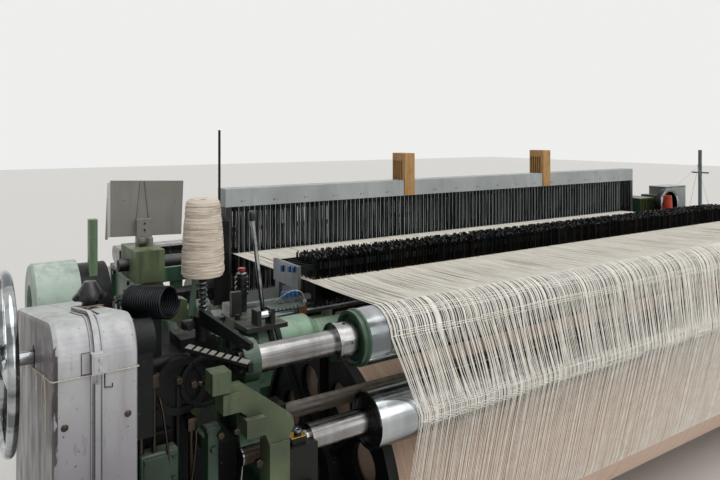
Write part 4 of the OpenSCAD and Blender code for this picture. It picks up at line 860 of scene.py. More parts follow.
@dataclass
class WarpYarns:
    """The cotton warp: the wound beam, the yarns over both back rollers, and the level sheet."""

    strand_count: int = 640
    strand_r: float = 1.4
    seed: int = 41
    stop_y: float = -462.0
    shed_y: float = 258.0

    def drift(self, home: float, height: float, strength: float) -> float:
        """How far yarns that lie side by side have moved together, so that dense and open places form.

        Args:
            home: A yarn's even place across the loom in millimetres.
            height: Which level of the sheet; other levels drift otherwise.
            strength: The largest drift in millimetres.

        Returns:
            The drift in millimetres.
        """
        slow = noise.noise(Vector((home * 0.016, height, 3.7)))
        fast = noise.noise(Vector((home * 0.065, height * 2, 8.1)))
        return strength * (slow + 0.45 * fast) + 0.3 * strength * math.sin(math.tau * home / PITCH + 5 * slow)

    def strands(self) -> tuple[list[list[Vector]], list[list[Vector]]]:
        """The yarns from the beam over both rollers, each straight between the rollers.

        Returns:
            The thin single yarns up to the lower roller, and the flatter pairs above it.
        """
        rng = random.Random(self.seed)
        off, rise, run = tangent(BEAM, LOWER, 1), tangent(LOWER, UPPER, 1), tangent(UPPER, Roll(*FELL, 0), 1)
        low_in, low_out = LOWER.rim(off, 1.6), LOWER.rim(rise, 1.6)
        thin: list[list[Vector]] = []
        thick: list[list[Vector]] = []
        for k in range(self.strand_count):
            if rng.random() < 0.02:
                continue
            home = -HALF_SHEET + 2 * HALF_SHEET * (k + 0.5) / self.strand_count
            at_beam = home + self.drift(home, 1.0, 3.0) + rng.gauss(0, 0.7)
            at_low = home + self.drift(home, 4.0, 6.0) + rng.gauss(0, 0.9)
            at_top = (home + self.drift(home, 9.0, 8.0) + rng.gauss(0, 1.1)) * TOP_SPREAD
            lift, bow = rng.uniform(0, 1.5), rng.gauss(0, 1.4)
            part = self.drift(home, 15.0, 9.0)
            points = [(at_beam, *BEAM.rim(off + turn, 1.0)) for turn in (9, 6, 3, 0)]
            start = BEAM.rim(off, 1.0)
            for j in range(1, 5):
                t = j / 5
                points.append((at_beam + (at_low - at_beam) * t + bow * math.sin(math.pi * t),
                               start[0] + (low_in[0] - start[0]) * t, start[1] + (low_in[1] - start[1]) * t))
            points += [(at_low, *LOWER.rim(off + (rise - off) * j / 3, 1.6 + lift)) for j in range(4)]
            end = UPPER.rim(rise, 1.6)
            for j in range(1, 6):
                t = j / 6
                points.append((at_low + (at_top - at_low) * t + (bow * 1.3 + part) * math.sin(math.pi * t),
                               low_out[0] + (end[0] - low_out[0]) * t - lift, low_out[1] + (end[1] - low_out[1]) * t))
            points += [(at_top, *UPPER.rim(rise + (run - rise) * j / 8, 1.6 + lift * 0.6)) for j in range(9)]
            edge = HALF_SHEET * TOP_SPREAD - 1
            run_up = [mm(max(-edge, min(edge, x)), y, z) for x, y, z in points]
            thin.append(run_up[:11])
            thick.append(run_up[9:])
        return thin, thick

    def level(self, ys: tuple[float, float], zs: tuple[float, float], count: int, steps: int, seed: int,
              strays: tuple[float, float]) -> list[list[Vector]]:
        """Yarns of a level stretch of the sheet.

        Args:
            ys: Where the stretch starts and ends.
            zs: Its height there.
            count: How many yarns.
            steps: Segments of each yarn.
            seed: Seed of the strays.
            strays: How far the yarns drift together at the start and at the end.

        Returns:
            One list of points for each yarn.
        """
        rng = random.Random(seed)
        runs = []
        for k in range(count):
            home = -HALF_SHEET + 2 * HALF_SHEET * (k + 0.5) / count
            clump = noise.noise(Vector((home * 0.05, seed, 0.5)))
            if rng.random() < 0.03 + 0.10 * max(0.0, clump):
                continue
            drop, bow = rng.uniform(-1.6, 0.9), rng.uniform(-2.5, 2.5)
            first, last = self.drift(home, 9.0, strays[0]), self.drift(home, 12.0, strays[1])
            points = []
            for i in range(steps + 1):
                t = i / steps
                y = ys[0] + (ys[1] - ys[0]) * t
                swell = math.sin(math.pi * t)
                x = (home + first * (1 - t) + last * t + bow * swell) * spread(y)
                edge = HALF_SHEET * spread(y)
                points.append(mm(max(-edge, min(edge, x)), y, zs[0] + (zs[1] - zs[0]) * t + (drop - 2.0) * swell))
            runs.append(points)
        return runs

    def wound_beam(self) -> Shape:
        """The winding on the beam, ridged where its yarn groups lie."""
        rng = random.Random(self.seed + 1)
        steps = 660
        profile = [(70.0, -HALF_SHEET)]
        for k in range(steps + 1):
            a = -HALF_SHEET + 2 * HALF_SHEET * k / steps
            edge = min(1.0, (HALF_SHEET - abs(a)) / 18)
            ridge = 0.5 * math.sin(math.tau * a / PITCH) + rng.uniform(-0.45, 0.45)
            profile.append((BEAM.r - 2.2 * (1 - edge) ** 2 - 0.8 + ridge * 0.7, a))
        profile.append((70.0, HALF_SHEET))
        shape = Shape()
        shape.lathe(profile, mm(0, BEAM.y, BEAM.z), X_AXIS, 96)
        return shape

    def cross_threads(self) -> list[list[Vector]]:
        """Threads that go over and under the yarns in narrow bands along both rollers.

        Returns:
            One list of points for each thread; it shows as a row of short dashes.
        """
        rng = random.Random(self.seed + 2)
        rise = tangent(LOWER, UPPER, 1)
        bands = [(UPPER, rise - 50, 5), (UPPER, rise - 8, 4), (LOWER, rise + 8, 4), (LOWER, rise - 16, 4)]
        runs = []
        for roll, angle, lines in bands:
            half = HALF_SHEET * (TOP_SPREAD if roll is UPPER else 1.0)
            for line in range(lines):
                x = -half + rng.uniform(2, 60)
                while x < half - 80:
                    end = min(x + rng.uniform(90, 620), half - 6)
                    count = max(3, int((end - x) / 7))
                    here = angle + line * 4.2 + rng.uniform(-1.0, 1.0)
                    run = []
                    for k in range(count + 1):
                        over = 2.9 if (k // 2 + line) % 2 else 0.2
                        y, z = roll.rim(here + 1.5 * math.sin(x * 0.01 + k * 0.06), 1.6 + over)
                        run.append(mm(x + (end - x) * k / count, y, z))
                    runs.append(run)
                    x = end + rng.uniform(15, 130)
        return runs

    def make(self) -> None:
        """Builds the warp and hides the plain sheet and winding that it stands for."""
        run = tangent(UPPER, Roll(*FELL, 0), 1)
        y0, z0 = UPPER.rim(run, 1.6)
        slope = (FELL[1] - z0) / (FELL[0] - y0)

        def height(y: float) -> float:
            """The sheet's height at a distance y."""
            return z0 + slope * (y - y0)

        thin, thick = self.strands()
        rising = wire("warp_rising_yarns", thick, self.strand_r, WARP, "")
        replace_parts(rising, "warp_sheet")
        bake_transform(rising)
        wire("warp_beam_yarns", thin, self.strand_r * 0.66, WARP, "frame")
        stop, shed = self.stop_y, self.shed_y
        back = self.level((y0 - 6, stop), (height(y0 - 6) + 0.6, height(stop)), 1080, 7, 5, (8.0, 3.0))
        to_stop = wire("warp_level_yarns", back, 1.2, LEVEL, "")
        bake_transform(to_stop)
        middle = self.level((stop, shed), (height(stop) + 0.6, height(shed)), 860, 5, 6, (3.0, 2.0))
        wire("warp_middle_yarns", middle, 1.3, LEVEL, "frame")
        front = self.level((shed, FELL[0] - 1), (height(shed), FELL[1] + 0.5), 720, 4, 7, (2.0, 0.5))
        wire("warp_shed_yarns", front, 1.35, LEVEL, "frame")
        crossing = wire("cross_threads", self.cross_threads(), 0.85, WARP, "")
        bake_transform(crossing)
        # the winding's finish is the warp yarn darkened as painted shade
        winding = build("wound_beam_yarn", self.wound_beam(), SHADED_WOUND, "beam", 60)
        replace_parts(winding, "warp_roll")


@dataclass
class ClothSide:
    """The woven cloth from the fell to the cloth roll, on the weaver's side."""

    half_width: float = 1272.0
    thickness: float = 0.6

    def route(self) -> list[tuple[float, float]]:
        """The cloth's path in (y, z), on the same side of each roll as its CAD solid."""
        nose = Roll(885, 1039, 35)
        lay = 0.9
        points = [(FELL[0] + 1.2, FELL[1] + 0.2), (FELL[0] + 60, FELL[1] - 1.7), (FELL[0] + 150, FELL[1] - 5.0)]
        points += [nose.rim(92 - 92 * k / 6, lay) for k in range(7)]
        points += [TAKE_UP.rim(-210 * k / 28, lay) for k in range(29)]
        points += [PRESS.rim(-30 + 210 * k / 28, lay + 0.4) for k in range(29)]
        points += [(PRESS.y - PRESS.r - lay - 0.4, PRESS.z - 120), (PRESS.y - PRESS.r - lay - 0.4, CLOTH_ROLL.z + 30)]
        return points

    def rolled(self) -> Shape:
        """The cloth roll: woven layers with uneven selvedges."""
        rng = random.Random(12)
        profile = [(24.6, -self.half_width)]
        for k in range(161):
            a = -self.half_width + 2 * self.half_width * k / 160
            edge = min(1.0, (self.half_width - abs(a)) / 8)
            profile.append((CLOTH_ROLL.r - 0.8 - 1.6 * (1 - edge) + rng.uniform(-0.25, 0.1), a))
        profile.append((24.6, self.half_width))
        roll = Shape()
        roll.lathe(profile, mm(0, CLOTH_ROLL.y, CLOTH_ROLL.z), X_AXIS, 72)
        return roll

    def make(self) -> None:
        """Builds the cloth as one thin sheet and the roll that it is wound on."""
        route = self.route()
        shape = Shape()
        columns = 64
        lines = []
        for y, z in route:
            lines.append([shape.bm.verts.new(mm(-self.half_width + 2 * self.half_width * k / columns, y, z))
                          for k in range(columns + 1)])
        for a, b in zip(lines, lines[1:]):
            edges = [[shape.bm.edges.get(p) or shape.bm.edges.new(p) for p in zip(row, row[1:])] for row in (a, b)]
            bmesh.ops.bridge_loops(shape.bm, edges=edges[0] + edges[1])
        bmesh.ops.recalc_face_normals(shape.bm, faces=shape.bm.faces)
        cloth = build("woven_cloth", shape, WOVEN, "frame", 60)
        thick = cloth.modifiers.new("cloth thickness", "SOLIDIFY")
        thick.thickness = self.thickness * MM
        thick.offset = 1.0
        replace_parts(cloth, "cloth")
        wound = build("wound_cloth", self.rolled(), WOVEN, "cloth_wind", 50)
        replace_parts(wound, "cloth_roll")
        bar = Shape()
        bar.lathe([(0.0, -1679.0), (23.6, -1679.0), (24.6, -1678.0), (24.6, 1678.0), (23.6, 1679.0), (0.0, 1679.0)],
                  mm(0, CLOTH_ROLL.y, CLOTH_ROLL.z), X_AXIS, 40)
        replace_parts(build("cloth_roll_bar", bar, BRIGHT, "cloth_wind"), "cloth_roll")


@dataclass
class Harness:
    """Heald frames with their wires, and the warp-stop drop wires behind them."""

    rows: int = 6
    first_row: float = -450.0
    row_pitch: float = 26.0
    drop_pitch: float = 6.2
    tips: int = 110
    wire_pitch: float = 4.6
    left_wire: float = -1335.0
    right_wire: float = 1410.0
    wire_span: float = 2752.0
    # how many light wires of painted glint the rear frame gets
    worn: int = 150
    first_heald: float = 255.0
    heald_pitch: float = 16.0

    def row_y(self, row: int) -> float:
        """The plane of one row of drop wires."""
        return self.first_row + self.row_pitch * row

    def slip(self, shape: Shape, centre: Corner, size: Corner, lean: float = 0.0) -> None:
        """Adds one thin flat wire, in millimetres, leaning sideways by some radians."""
        place = Matrix.Translation(mm(*centre)) @ Matrix.Rotation(lean, 4, "Y") @ Matrix.Diagonal((*(mm(*size)), 1))
        bmesh.ops.create_cube(shape.bm, size=1.0, matrix=place)

    def drop_blades(self, brown: bool) -> Shape:
        """Thin steel drop wires, hundreds of them, each hanging a little differently.

        Args:
            brown: Whether it is the rusty share of them, or the blackened rest.

        Returns:
            The blades of that share.
        """
        rng = random.Random(77)
        shape = Shape()
        for row in range(self.rows):
            y = self.row_y(row)
            half = HALF_SHEET * spread(y) - 14
            for k in range(int(2 * half / self.drop_pitch)):
                x = -half + self.drop_pitch * (k + 0.5) + rng.uniform(-1.9, 1.9)
                raised = rng.choice((0, 0, 0, 3, -4, 6)) + rng.uniform(-4, 2)
                lean, step, rusty = rng.uniform(-0.05, 0.05), rng.uniform(-1.5, 1.5), rng.random() < 0.3
                if rusty is brown:
                    self.slip(shape, (x, y + step, 1121 + min(raised, 4)), (0.6, 10.5, 152), lean)
        return shape

    def blade_tips(self) -> Shape:
        """Light tops on some of the drop wires."""
        rng = random.Random(78)
        shape = Shape()
        for row in range(self.rows):
            y = self.row_y(row)
            half = HALF_SHEET * spread(y) - 14
            for k in range(self.tips):
                x = -half + 2 * half * (k + rng.random()) / self.tips
                self.slip(shape, (x, y, 1196 + rng.uniform(0, 3)), (1.3, 8, rng.uniform(3, 7)))
        return shape

    def heald_wires(self, y: float, seed: int) -> Shape:
        """Flat wires of one frame, with an open hook at the top and an eye in the middle.

        Args:
            y: The frame's middle plane.
            seed: Seed of the uneven spacing.

        Returns:
            The wires.
        """
        rng = random.Random(seed)
        shape = Shape()
        for k in range(int(self.wire_span / self.wire_pitch)):
            x = self.left_wire + self.wire_pitch * k + rng.uniform(-1.8, 1.8)
            lean = rng.uniform(-0.012, 0.012)
            for z0, z1, w in ((936, 1098, 1.0), (1112, 1274, 1.0), (1097, 1113, 2.4), (1273, 1295.5, 2.6)):
                self.slip(shape, (x + lean * ((z0 + z1) / 2 - 1104), y, (z0 + z1) / 2), (w, 1.6, z1 - z0), lean)
        return shape

    def glint_wires(self) -> Shape:
        """Painted highlights: a few light wires on the rear frame that stand for glints on its dark wires."""
        rng = random.Random(5)
        shape = Shape()
        for _ in range(self.worn):
            x = rng.uniform(self.left_wire, self.right_wire)
            self.slip(shape, (x, 251.5, 1204), (0.9, 0.8, rng.uniform(90, 180)), rng.uniform(-0.02, 0.02))
        return shape

    def rail_hooks(self) -> Shape:
        """The slider hooks and rivets along the rear frame's top rail."""
        shape = Shape()
        for k in range(19):
            x = -1300 + 150 * k
            if abs(x) < 1400:
                shape.rod(mm(x, 250.2, 1318), mm(x, 248.4, 1318), 4.2, 3.4, 12)
                shape.rod(mm(x + 14, 250.2, 1318), mm(x + 14, 248.6, 1318), 2.4, 2.2, 10)
        return shape

    def make(self) -> None:
        """Builds the wires of the drop bars and of the heald frames."""
        build("drop_wire_blades", self.drop_blades(False), HARNESS_STEEL, "frame")
        build("drop_wires_rusty", self.drop_blades(True), BROWN_STEEL, "frame")
        build("drop_wire_tips", self.blade_tips(), WORN_STEEL_AND_GLINTS, "frame")
        for i in range(6):
            wires = self.heald_wires(self.first_heald + self.heald_pitch * i, 100 + i)
            build(f"heald_wires_{i + 1}", wires, HARNESS_STEEL, f"heald_{i + 1}")
        # painted highlights: glints on the rear frame's dark wires
        build("heald_wire_glints", self.glint_wires(), WORN_STEEL_AND_GLINTS, "heald_1")
        build("rail_rivets", self.rail_hooks(), WORN_STEEL_AND_GLINTS, "heald_1")


@dataclass
class ConeAndSpring:
    """The yarn cone on its sprung stand, and the long tension spring beside it."""

    cone_at: Corner = (-1824.0, -750.0, 1257.0)
    cone_high: float = 186.0
    cone_r: float = 53.5
    spring_at: Corner = (-1908.0, -772.0, 1207.0)
    spring_turns: int = 16
    spring_long: float = 118.0
    spring_r: float = 35.4

    def cone(self) -> Shape:
        """A wound cone: fine courses on a tapered body with a rounded shoulder."""
        rng = random.Random(9)
        shape = Shape()
        profile = [(9.0, 0.0), (self.cone_r - 6, 0.0)]
        rings = 62
        for k in range(rings + 1):
            t = k / rings
            bulge = 1.8 * math.sin(math.pi * min(1.0, t * 1.02)) - 3.0 * max(0.0, 0.03 - t) / 0.03
            r = self.cone_r - 3.0 - 10.5 * t + bulge + (0.55 if k % 2 else -0.55) + rng.uniform(-0.3, 0.3)
            profile.append((min(r, self.cone_r - 0.5), 2 + (self.cone_high - 8) * t))
        profile += [(self.cone_r - 19, self.cone_high - 1), (30.0, self.cone_high), (20.0, self.cone_high - 2),
                    (9.0, self.cone_high - 2), (9.0, 0.0)]
        shape.lathe(profile, mm(*self.cone_at), Z_AXIS, 56)
        for v in shape.bm.verts:
            p = (v.co - mm(*self.cone_at)) / MM
            if p.xy.length > 32:
                wave = math.sin(2 * math.atan2(p.y, p.x) + p.z * 0.2) * 0.5 + noise.noise(p * 0.05) * 1.2
                v.co += Vector((p.x, p.y, 0)).normalized() * min(wave, 0.4) * MM
        return shape

    def winding(self) -> list[list[Vector]]:
        """The outer yarn turns, nearly level, that cross over the cone.

        Returns:
            One list of points for each turn.
        """
        rng = random.Random(19)
        x0, y0, z0 = self.cone_at
        runs = []
        for _ in range(64):
            a0, lean = rng.uniform(0, math.tau), rng.choice((-1, 1)) * rng.uniform(0.01, 0.06)
            mid = rng.uniform(0.04, 0.95)
            run = []
            for j in range(33):
                a = a0 + math.tau * j / 32 * 0.96
                t = max(0.03, min(0.95, mid + lean * math.sin(math.pi * (j / 16 - 1))))
                r = self.cone_r - 3.0 - 10.5 * t + 1.8 * math.sin(math.pi * t) + 0.75
                run.append(mm(x0 + r * math.cos(a), y0 + r * math.sin(a), z0 + 2 + (self.cone_high - 8) * t))
            runs.append(run)
        return runs

    def long_spring(self) -> None:
        """The close-wound spring that lies on the gear case, with its end hook."""
        centre = mm(*self.spring_at)
        turn = Matrix.Rotation(math.radians(36), 4, "Z") @ Matrix.Rotation(math.radians(-94), 4, "X")
        steps = self.spring_turns * 20
        run = []
        for k in range(steps + 1):
            a = math.tau * k / 20
            along = 4 + (self.spring_long - 8) * k / steps
            run.append(centre + turn @ mm(self.spring_r * math.cos(a), self.spring_r * math.sin(a), along))
        spring = wire("tension_coils", [run], 3.5, SPRING, "frame", 2)
        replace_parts(spring, "tension_spring")
        tip = [centre + turn @ mm(*p) for p in ((35, 0, 114), (24, 6, 121), (6, 2, 124), (2, 0, 132), (8, 0, 142),
                                                (14, 0, 152), (6, 0, 161), (-8, 0, 160), (-10, 0, 148))]
        wire("spring_hook", [tip], 2.8, SPRING, "frame", 2, smooth=True)

    def stand(self) -> None:
        """The bright edge of the stand's spring, and the black fork that holds its cup."""
        x, y, _ = self.cone_at
        coil = [mm(x + 8.2 * math.cos(a), y + 8.2 * math.sin(a), 1141 + 112 * a / (math.tau * 10))
                for a in (math.tau * k / 16 for k in range(161))]
        wire("stand_spring", [coil], 2.7, WORN_STEEL_AND_GLINTS, "frame", 2)
        cup = Shape()
        cup.lathe([(18.4, 1100.0), (18.4, 1128.0), (22.0, 1130.0), (24.5, 1150.0), (24.5, 1160.0), (21.0, 1161.5),
                   (18.4, 1160.0)], mm(x, y, 0), Z_AXIS, 36)
        cup.block((x - 52, y - 13, 1132), (x - 23, y + 13, 1152), 3.0, 2)
        cup.bolt(mm(x - 40, y - 13, 1142), -Y_AXIS, 17, 9)
        cup.block((x + 22, y - 9, 1136), (x + 44, y + 9, 1150), 3.0, 2)
        build("stand_cup", cup, BLACK, "frame")

    def make(self) -> None:
        """Builds the cone, its stand and the long spring."""
        cone = build("wound_cone", self.cone(), CONE, "frame", 75)
        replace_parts(cone, "yarn_cone")
        wire("cone_yarn_winding", self.winding(), 0.7, CONE, "frame")
        self.long_spring()
        self.stand()


@dataclass
class DriveGuard:
    """The sheet guard at the drive side: its seam, latch, knob, and the string tied round it."""

    middle: float = -2125.0
    front: float = -1050.0
    outer: float = -2197.0
    # the round top edge: its centre and radius, and where the slope behind it starts
    round_y: float = -984.0
    round_z: float = 1194.0
    round_r: float = 66.0
    edge_y: float = -971.9
    edge_z: float = 1258.9
    fall: float = 0.1861
    knob_at: Corner = (-2072.0, -700.0, 0.0)
    # radius and height of the screws' head, from its middle outwards
    screw: Outline = ((0.0, 2.6), (4.0, 2.2), (6.2, 0.6), (6.4, -0.4), (0.0, -0.4))

    def skin(self, x: float, proud: float, low: float, until: float) -> list[Vector]:
        """A line up the guard's front, over its round top edge and back along its slope.

        Args:
            x: Where the line lies across the loom.
            proud: How far it stands off the sheet.
            low: Height at which it starts.
            until: Distance y at which it ends on the slope.

        Returns:
            Its points.
        """
        points = [mm(x, self.front - proud, z) for z in (low, 700.0, self.round_z)]
        for k in range(1, 9):
            a, r = math.radians(180 - 100.5 * k / 8), self.round_r + proud
            points.append(mm(x, self.round_y + r * math.cos(a), self.round_z + r * math.sin(a)))
        return [*points, mm(x, until, self.top(until) + proud)]

    def top(self, y: float) -> float:
        """Height of the guard's sloping top at a distance y."""
        return self.edge_z - self.fall * (y - self.edge_y)

    def on_top(self, x: float, y: float, lift: float) -> Matrix:
        """A place on the sloping top, lifted off it by some millimetres and tilted with it."""
        return Matrix.Translation(mm(x, y, self.top(y) + lift)) @ Matrix.Rotation(math.atan(-self.fall), 4, "X")

    def seam(self) -> None:
        """Two thin ribs beside the bead, and a black sheet of painted shade in the gap that widens behind it."""
        ribs = [self.skin(self.middle + side * 9.5, 1.0, 118.0, -835.0) for side in (-1, 1)]
        wire("guard_seam_ribs", ribs, 2.0, GUARD, "frame", 2)
        # painted shade: a black sheet laid on the top where the seam's gap widens
        gap = Shape()
        gap.plate([(-2113, -150), (-2107, -150), (-2094, 62), (-2113, 62)], 0.8, self.on_top(0, -830, 0.3))
        build("guard_seam_gap_shade", gap, BLACK_PLASTIC, "frame")

    def latch(self) -> None:
        """The latch's outline plates, its keeper, and black sheets of painted shade in the slots beside the knob."""
        y = self.front - 0.9
        frame = [mm(-2151, y, 1176), mm(-2136, y, 1176), mm(-2136, y, 1214), mm(-2151, y, 1214)]
        wire("latch_keeper", [frame], 0.9, DARK_STEEL, "frame", 1, closed=True)
        hook = [mm(-2112, y, 1180), mm(-2112, y, 1147), mm(-2099, y, 1145), mm(-2099, y, 1152)]
        wire("latch_hook", [hook], 1.1, DARK_STEEL, "frame", 1)
        plate = Shape()
        plate.block((-2134, self.front - 21.2, 1180), (-2111, self.front - 19.8, 1212), 0.6)
        for z in (1204, 1187):
            plate.rod(mm(-2122.5, self.front - 21.2, z), mm(-2122.5, self.front - 23.6, z), 4.0, 3.4, 16)
        build("latch_plate", plate, GUARD, "frame")
        # painted shade: black sheets laid on the top where the slots are
        slots = Shape()
        for x, y in ((-2096, -806), (-2080, -790)):
            slots.plate([(-7, -16), (7, -16), (7, 16), (-7, 16)], 0.5, self.on_top(x, y, 0.2))
        build("guard_slot_shades", slots, BLACK_PLASTIC, "frame")

    def knob(self) -> None:
        """The black wing knob that holds the top down, over its stud."""
        shape = Shape()
        shape.lathe([(0.0, 1188.0), (17.6, 1188.0), (17.6, 1223.0), (28.7, 1223.4), (28.8, 1226.0), (26.9, 1242.4),
                     (12.6, 1264.0), (0.0, 1264.6)], mm(*self.knob_at), Z_AXIS, 36)
        upright = Matrix.Rotation(math.radians(90), 4, "X")
        place = Matrix.Translation(mm(-2072, -705, 0)) @ upright @ Matrix.Translation(mm(0, 0, -14))
        for side in (-1, 1):
            wing = [(side * 17, 1222), (side * 34, 1222), (side * 39, 1228), (side * 32, 1236), (side * 13, 1250)]
            shape.plate(wing, 16, place, 2.5)
        build("guard_knob", shape, BLACK_PLASTIC, "frame")
        washer = Shape()
        washer.plate([(-34, -46), (22, -50), (22, 40), (-30, 44)], 1.0, self.on_top(-2076, -712, 0.2), 0.3)
        build("guard_worn_plate", washer, RUST, "frame")

    def string(self) -> None:
        """Two-ply twine, tied round both halves of the guard, with a knot and two short ends."""
        tilt = math.radians(-11.6)
        hx, dy, r = 73.7, 649.6, 8.0
        flat: list[tuple[float, float]] = []
        corners = ((-hx + r, dy - r, 90), (-hx + r, r, 180), (hx - r, r, 270), (hx - r, dy - r, 0))
        for cx, cy, start in corners:
            flat += [(cx + r * math.cos(math.radians(start + 15 * k)), cy + r * math.sin(math.radians(start + 15 * k)))
                     for k in range(7)]
        flat.append(flat[0])
        loop: list[Vector] = []
        for (x0, y0), (x1, y1) in zip(flat, flat[1:]):
            n = max(1, int(math.dist((x0, y0), (x1, y1)) / 3.2))
            loop += [Vector((x0 + (x1 - x0) * k / n, y0 + (y1 - y0) * k / n, 0)) for k in range(n)]
        plies = []
        for phase in (0.0, math.pi):
            ply = []
            for k, p in enumerate(loop):
                q = loop[(k + 1) % len(loop)]
                side = (q - p).normalized().cross(Z_AXIS)
                a = phase + k * 1.05
                p = p + side * 0.62 * math.cos(a) + Z_AXIS * 0.62 * math.sin(a)
                y = p.y - 1.7
                ply.append(mm(self.middle + p.x, self.front + y * math.cos(tilt), 1173 + y * math.sin(tilt) + p.z))
            plies.append(ply)
        tied = wire("tied_string", plies, 0.78, TWINE, "frame", 1, closed=True)
        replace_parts(tied, "guard_string")
        x, y, z = -2199.6, -965.0, 1155.6
        knot = [[mm(x - 0.6 + 1.8 * math.cos(a) * math.sin(2 * a + s), y + 4.2 * math.sin(a), z + 3.2 * math.cos(a + s))
                 for a in (math.tau * k / 18 for k in range(18))] for s in (0.0, 1.1, 2.3)]
        wire("string_knot", knot, 1.25, TWINE, "frame", 1, closed=True)
        cord("string_end_1", hanging(mm(x, y - 4, z - 2), mm(-1.0, -26, 0), 84 * MM), 1.3, TWINE)
        cord("string_end_2", hanging(mm(x, y + 4, z - 2), mm(-1.0, 16, 0), 58 * MM), 1.3, TWINE)

    def fasteners(self) -> None:
        """Screws along the foot and the seam of both halves."""
        shape = Shape()
        for z in (160.0, 1090.0):
            for x in (-2178.0, -2072.0):
                shape.lathe(self.screw, mm(x, self.front, z), -Y_AXIS, 20)
        for y, z in ((-980, 150), (-500, 150), (-490, 1060)):
            shape.lathe(self.screw, mm(self.outer, y, z), -X_AXIS, 20)
        build("guard_screws", shape, DARK_STEEL, "frame")

    def make(self) -> None:
        """Builds the guard's small parts."""
        self.seam()
        self.latch()
        self.knob()
        self.string()
        self.fasteners()


